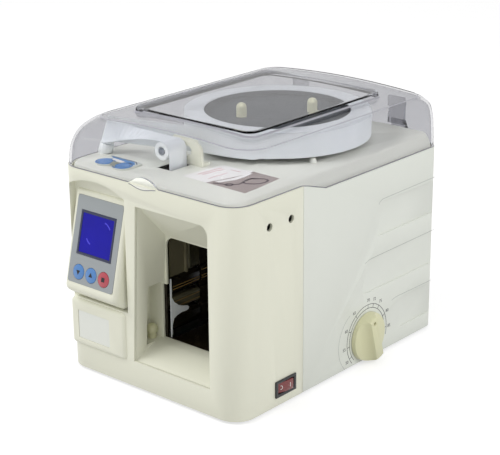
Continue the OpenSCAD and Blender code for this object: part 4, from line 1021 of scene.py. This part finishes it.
def make_key_marks():
    rings = []
    for x in KEY_X:
        rings += arc_band(x, KEY_Y, KEY_R + 1.45, 2.1, 0, 360)
    flat_marks("key_rings", rings, on_surround, LIFT, "casing", "surround_blue", FINISH[SLOT["feed_key"]])
    back = [(-81, -119.6), (-48.3, -120.1), (-41, -127.7), (-56.5, -125.6), (-73.6, -123.4)]
    flat_marks("key_plate_back", [back], on_surround, LIFT, "casing", "surround_blue", INK_SKY)
    rim = [(-82.5, -118.6), (-47.5, -119), (-41.2, -124.5)]
    flat_marks("key_plate_rim", stroke(rim, 1.1), on_plate_ink, LIFT, "casing", "surround_blue", INK_SLATE)
    plate = [(-69.6, -130.2), (-58.1, -129.6), (-52.5, -143), (-61.7, -141)]
    flat_marks("key_plate_front", [plate], on_plate_ink, LIFT, "casing", "surround_blue", INK_OLIVE)
    bar = [(-72.5, -127.4), (-57.1, -129), (-57.7, -124.4), (-73.7, -122.8)]
    flat_marks("key_plate_bar", [bar], on_plate_ink, LIFT, "casing", "surround_blue", INK_WHITE)


def on_sheet(x, y, out):
    return on_deck(x, y, LIFT + 0.02 + out)


def on_shade(x, y, out):
    return on_deck(x, y, 2 * LIFT + 0.04 + out)


def make_threading_sheet():
    """A sheet stuck to the deck with a plain drawing of a threaded tape."""
    flat_marks("sheet_paper", [[(13, -118), (44, -120), (58, -66), (19, -66)]], on_deck, LIFT,
               "casing", "label_white", INK_SHEET)
    flat_marks("sheet_shade", [[(44.2, -120), (93, -121), (88, -67), (58.2, -67)]], on_deck, LIFT,
               "casing", "label_white", INK_TAUPE)
    path = [(50, -117), (58, -114), (66, -110.5), (71, -104), (70, -96), (69, -88), (72, -81)]
    flat_marks("sheet_path", stroke(path, 2.0), on_sheet, LIFT, "casing", "label_white", INK_PLUM)
    loop = ellipse(77, -88, 7.2, 11.5, -25)
    flat_marks("sheet_loop", stroke(loop, 2.2) + stroke(ellipse(64.5, -111, 3.4, 3.4), 1.8), on_sheet, LIFT,
               "casing", "label_white", INK_PLUM)
    ribbon = [[(56, -72), (61, -72), (60, -96), (53, -112), (48, -112), (54, -94)]]
    flat_marks("sheet_ribbon", ribbon, on_shade, LIFT, "casing", "label_white", INK_SHEET)
    lines = stroke([(21, -106), (24, -76)], 0.9) + stroke([(25, -104), (28, -78)], 0.9)
    lines += stroke([(34, -74), (46, -74)], 0.8) + stroke([(38, -84), (38, -110)], 0.6)
    flat_marks("sheet_lines", lines, on_sheet, LIFT, "casing", "label_white", INK_PINK)


SLEEVE_X = (-24.4, -5.6)
SLEEVE_Y = (-113.9, -87.1)
SLEEVE_DEEP = 17.5
SLEEVE_T = 0.6


def make_slot_sleeve():
    """A dark sleeve in the slot that the tape goes down through: painted shade in the slot's depth."""
    corners = []
    for t in (0, SLEEVE_T):
        x0, x1, y0, y1 = SLEEVE_X[0] + t, SLEEVE_X[1] - t, SLEEVE_Y[0] + t, SLEEVE_Y[1] - t
        for z in (DECK_Z - SLEEVE_DEEP, DECK_Z - 0.4):
            corners += [(x0, y0, z), (x1, y0, z), (x1, y1, z), (x0, y1, z)]
    faces = []
    for i in range(4):
        j = (i + 1) % 4
        faces += [(i, j, 4 + j, 4 + i), (8 + j, 8 + i, 12 + i, 12 + j), (i + 4, j + 4, 12 + j, 12 + i),
                  (j, i, 8 + i, 8 + j)]
    solid("slot_shade_sleeve", corners, faces, "casing", "black_steel", SLOT_SHADE)


def make_finger_scoop():
    """A flat patch on the casing under the lid's finger notch, whiter than the casing as a painted highlight
    of a shallow scoop, with a painted dark line of shade along its edge.
    """
    edge = [(-18.5, 209.3), (-15, 208.8), (-12, 207.9), (-8, 206.9), (-3, 206.3), (2, 206.5), (6, 207.2),
            (11, 208.4), (16.5, 209.3)]
    front = span("front_casing")[0].y

    def on_front(x, z, out):
        return (x, front - LIFT / 2 - out, z)

    def on_scoop(x, z, out):
        return on_front(x, z, LIFT + 0.02 + out)

    flat_marks("finger_scoop_highlight", [list(reversed(edge))], on_front, LIFT, "casing", "casing_cream", SCOOP_HIGHLIGHT)
    # painted shade: a dark line along the patch's lower edge, in the grey of the lid's edge lines
    flat_marks("finger_scoop_shade_line", stroke(edge, 0.7), on_scoop, LIFT,
               "casing", "casing_cream", EDGE_SHADE_GREY)


def make_fin():
    """The steel fin that the clamps close against, cut from one sheet, in a pale non-metal colour that
    paints in the sheen of bright steel.
    """
    low, high = span("anvil_plate")
    back = low.y
    outline = [(back, high.z), (back, low.z), (back + 1.5, 42), (back + 1.8, 51), (-107.8, 57.4),
               (-103, 59.6), (-97, 60.6), (-90, 60.2), (-87, 61), (-86, 63), (-88, 65), (-94, 66.6),
               (-101, 69.5), (-107, 74.5), (back + 1.8, 80), (back + 1.5, high.z)]
    obj = slab("bright_fin", low.x, high.x, outline, BODY["anvil_plate"], SLOT["anvil_plate"], FIN_PAINTED_SHEEN)
    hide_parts("anvil_plate")


def make_gold_lines(source, name, heights):
    """Gold lines along the face of a jaw or a rail."""
    low, high = span(source)

    def on_face(y, z, out):
        return (high.x + LIFT / 2 + out, y, z)

    lines = [box_outline((low.y + high.y) / 2, z, high.y - low.y - 1, 1.1) for z in heights]
    flat_marks(name, lines, on_face, LIFT, BODY[source], SLOT[source], INK_GOLD)


SHEET_T = 0.6
SHEET_Z = (99.5, 144)


def make_side_sheets():
    """Two upright steel sheets over the upper clamp, along the throat's left."""
    for name, x, y0, y1, material in (("pale_sheet", -22.6, -84.4, -74.5, SHEET_PALE),
                                      ("olive_sheet", -23.2, -74.2, -60.3, SHEET_OLIVE)):
        block(name, (x, y0, SHEET_Z[0]), (x + SHEET_T, y1, SHEET_Z[1]), "casing", "black_steel", material)


CORE_UP = 17.6


def make_core_rim():
    """The tape roll's dark core, that stands over the hub."""
    low, high = ROLL_LOW.z + CORE_UP, ROLL_HIGH.z - 0.3
    inner, outer = ROLL_BORE - 0.7, ROLL_BORE - 0.25
    profile = [(inner, low), (outer, low), (outer, high), (inner, high)]
    turned("reel_core_rim", ROLL_X, ROLL_Y, profile, "reel", "hub_grey", steps=128)


LEAD_ANGLE = 290.6
TAIL_SWEEP = 200
TAPE_T = 0.25
PEEL = 1.35


def make_tape_tail():
    """The outermost turn of tape, that peels off the roll towards the guide post."""
    steps = 100
    low, high = ROLL_LOW.z, ROLL_HIGH.z
    corners = []
    for i in range(steps + 1):
        f = i / steps
        a = math.radians(LEAD_ANGLE + TAIL_SWEEP * f)
        r = ROLL_R + TAPE_T + PEEL * max(0, 1 - 5 * f) ** 2
        for reach, z in ((r, low), (r + TAPE_T, low), (r + TAPE_T, high), (r, high)):
            corners.append((ROLL_X + reach * math.cos(a), ROLL_Y + reach * math.sin(a), z))
    faces = [(4 * i + k, 4 * (i + 1) + k, 4 * (i + 1) + (k + 1) % 4, 4 * i + (k + 1) % 4)
             for i in range(steps) for k in range(4)]
    faces += [(3, 2, 1, 0), (4 * steps, 4 * steps + 1, 4 * steps + 2, 4 * steps + 3)]
    solid("tape_tail", corners, faces, BODY["tape_lead"], SLOT["tape_lead"])


# painted shade: lines where the recesses' upper edges fall into shade
RIB_SHADE_LINES = (
    [(55.5, 161.5), (57.4, 164.1), (61.5, 165.6), (95.4, 166.0), (154.5, 166.3)],
    [(34.1, 104.8), (40.1, 106.9), (47.5, 107.4), (98.1, 107.7), (155.3, 108.0)],
    [(81.2, 50.7), (87.6, 52.2), (93.3, 52.4), (121.8, 52.0), (153.1, 51.6)],
)


def make_rib_lines():
    """Painted lines of shade along the upper edges of the three long recesses in the right wall."""
    quads = [quad for line in RIB_SHADE_LINES for quad in stroke(line, 0.5)]
    flat_marks("rib_shade_lines", quads, on_right_side, LIFT, "casing", "casing_white", FAINT_INK_AND_SHADE)


make_deck_key("feed_key", "feed_key_cap", KEY_X[0])
make_deck_key("back_key", "back_key_cap", KEY_X[1])
make_key_marks()
make_threading_sheet()
make_slot_sleeve()
make_finger_scoop()
make_fin()
make_rib_lines()
make_gold_lines("upper_clamp", "upper_jaw_lines", (84.2, 87))
make_gold_lines("tape_sealer", "middle_jaw_lines", (65, 70.5))
make_gold_lines("side_guide", "rail_lines", (84.2, 87, 93))
make_side_sheets()
make_core_rim()
make_tape_tail()
paint(bpy.data.objects["roller_bracket"], FINISH["casing_cream"])


# ---- floor, lamps and camera -------------------------------------------------------------------
FLOOR_HALF = 9.0


def make_floor():
    mesh = bpy.data.meshes.new("floor")
    corners = [(x * FLOOR_HALF, y * FLOOR_HALF, 0) for x, y in ((-1, -1), (1, -1), (1, 1), (-1, 1))]
    mesh.from_pydata(corners, [], [(0, 1, 2, 3)])
    floor = linked("floor", mesh)
    made, tree, principled = start("pale_floor")
    grained = placed_group(tree, SPARK_GRAIN, Grain_Scale=60.0, Blotch_Scale=2.0)
    toned_colour(tree, principled, "CACACA", "C6C6C6", grained.outputs["Blotch"])
    principled.inputs["Roughness"].default_value = 0.9
    path = node(tree, "ShaderNodeLightPath")
    glow = math_node(tree, "MAXIMUM", path.outputs["Is Camera Ray"], path.outputs["Is Glossy Ray"])
    emission = node(tree, "ShaderNodeEmission")
    tree.links.new(math_node(tree, "MULTIPLY", glow, 0.57), emission.inputs["Strength"])
    added = node(tree, "ShaderNodeAddShader")
    tree.links.new(principled.outputs[0], added.inputs[0])
    tree.links.new(emission.outputs[0], added.inputs[1])
    tree.links.new(added.outputs[0], tree.nodes["Material Output"].inputs["Surface"])
    paint(floor, made)


def make_world():
    world = bpy.data.worlds.new("studio")
    bpy.context.scene.world = world
    world.use_nodes = True
    tree = world.node_tree
    back = tree.nodes["Background"]
    path = node(tree, "ShaderNodeLightPath")
    seen = math_node(tree, "MAXIMUM", path.outputs["Is Camera Ray"], path.outputs["Is Glossy Ray"])
    through = math_node(tree, "MULTIPLY", path.outputs["Is Transmission Ray"], 0.3)
    seen = math_node(tree, "MAXIMUM", seen, through)
    lit = math_node(tree, "ADD", math_node(tree, "MULTIPLY", seen, 0.42), 0.58)
    tree.links.new(lit, back.inputs["Strength"])
    back.inputs["Color"].default_value = (1, 1, 1, 1)


def lamp(name, place, aim, size, watts, mirrored=True):
    light = bpy.data.lights.new(name, "AREA")
    light.shape = "SQUARE"
    light.size = size
    light.energy = watts
    obj = bpy.data.objects.new(name, light)
    bpy.context.collection.objects.link(obj)
    obj.location = place
    obj.rotation_euler = (Vector(aim) - Vector(place)).to_track_quat("-Z", "Y").to_euler()
    obj.visible_glossy = mirrored


CAMERA_AT = (927.6, -1077.4, 627.6)
AZIMUTH = math.radians(40.931)
ELEVATION = math.radians(19.413)
ROLL = math.radians(-0.475)


def make_camera():
    right = Vector((math.cos(AZIMUTH), math.sin(AZIMUTH), 0))
    back = Vector((math.sin(AZIMUTH) * math.cos(ELEVATION), -math.cos(AZIMUTH) * math.cos(ELEVATION),
                   math.sin(ELEVATION)))
    up = back.cross(right)
    rolled_right = right * math.cos(ROLL) + up * math.sin(ROLL)
    rolled_up = up * math.cos(ROLL) - right * math.sin(ROLL)
    camera = bpy.data.cameras.new("camera")
    camera.lens = 106.22
    camera.sensor_width = 36
    camera.clip_end = 30
    obj = bpy.data.objects.new("camera", camera)
    bpy.context.collection.objects.link(obj)
    turn = Matrix((rolled_right, rolled_up, back)).transposed().to_4x4()
    obj.matrix_world = Matrix.Translation(spot(*CAMERA_AT)) @ turn
    bpy.context.scene.camera = obj


make_floor()
make_world()
lamp("key_lamp", (-0.9, -1.1, 1.5), (0, 0, 0.12), 1.1, 17.5, False)
lamp("mouth_lamp", (0.1, -0.9, 0.2), (0, 0, 0.09), 0.2, 0.25)
lamp("side_lamp", (1.7, 0.1, 1.1), (0, 0, 0.12), 1.2, 13)
make_camera()
bpy.context.scene.view_settings.view_transform = "Standard"
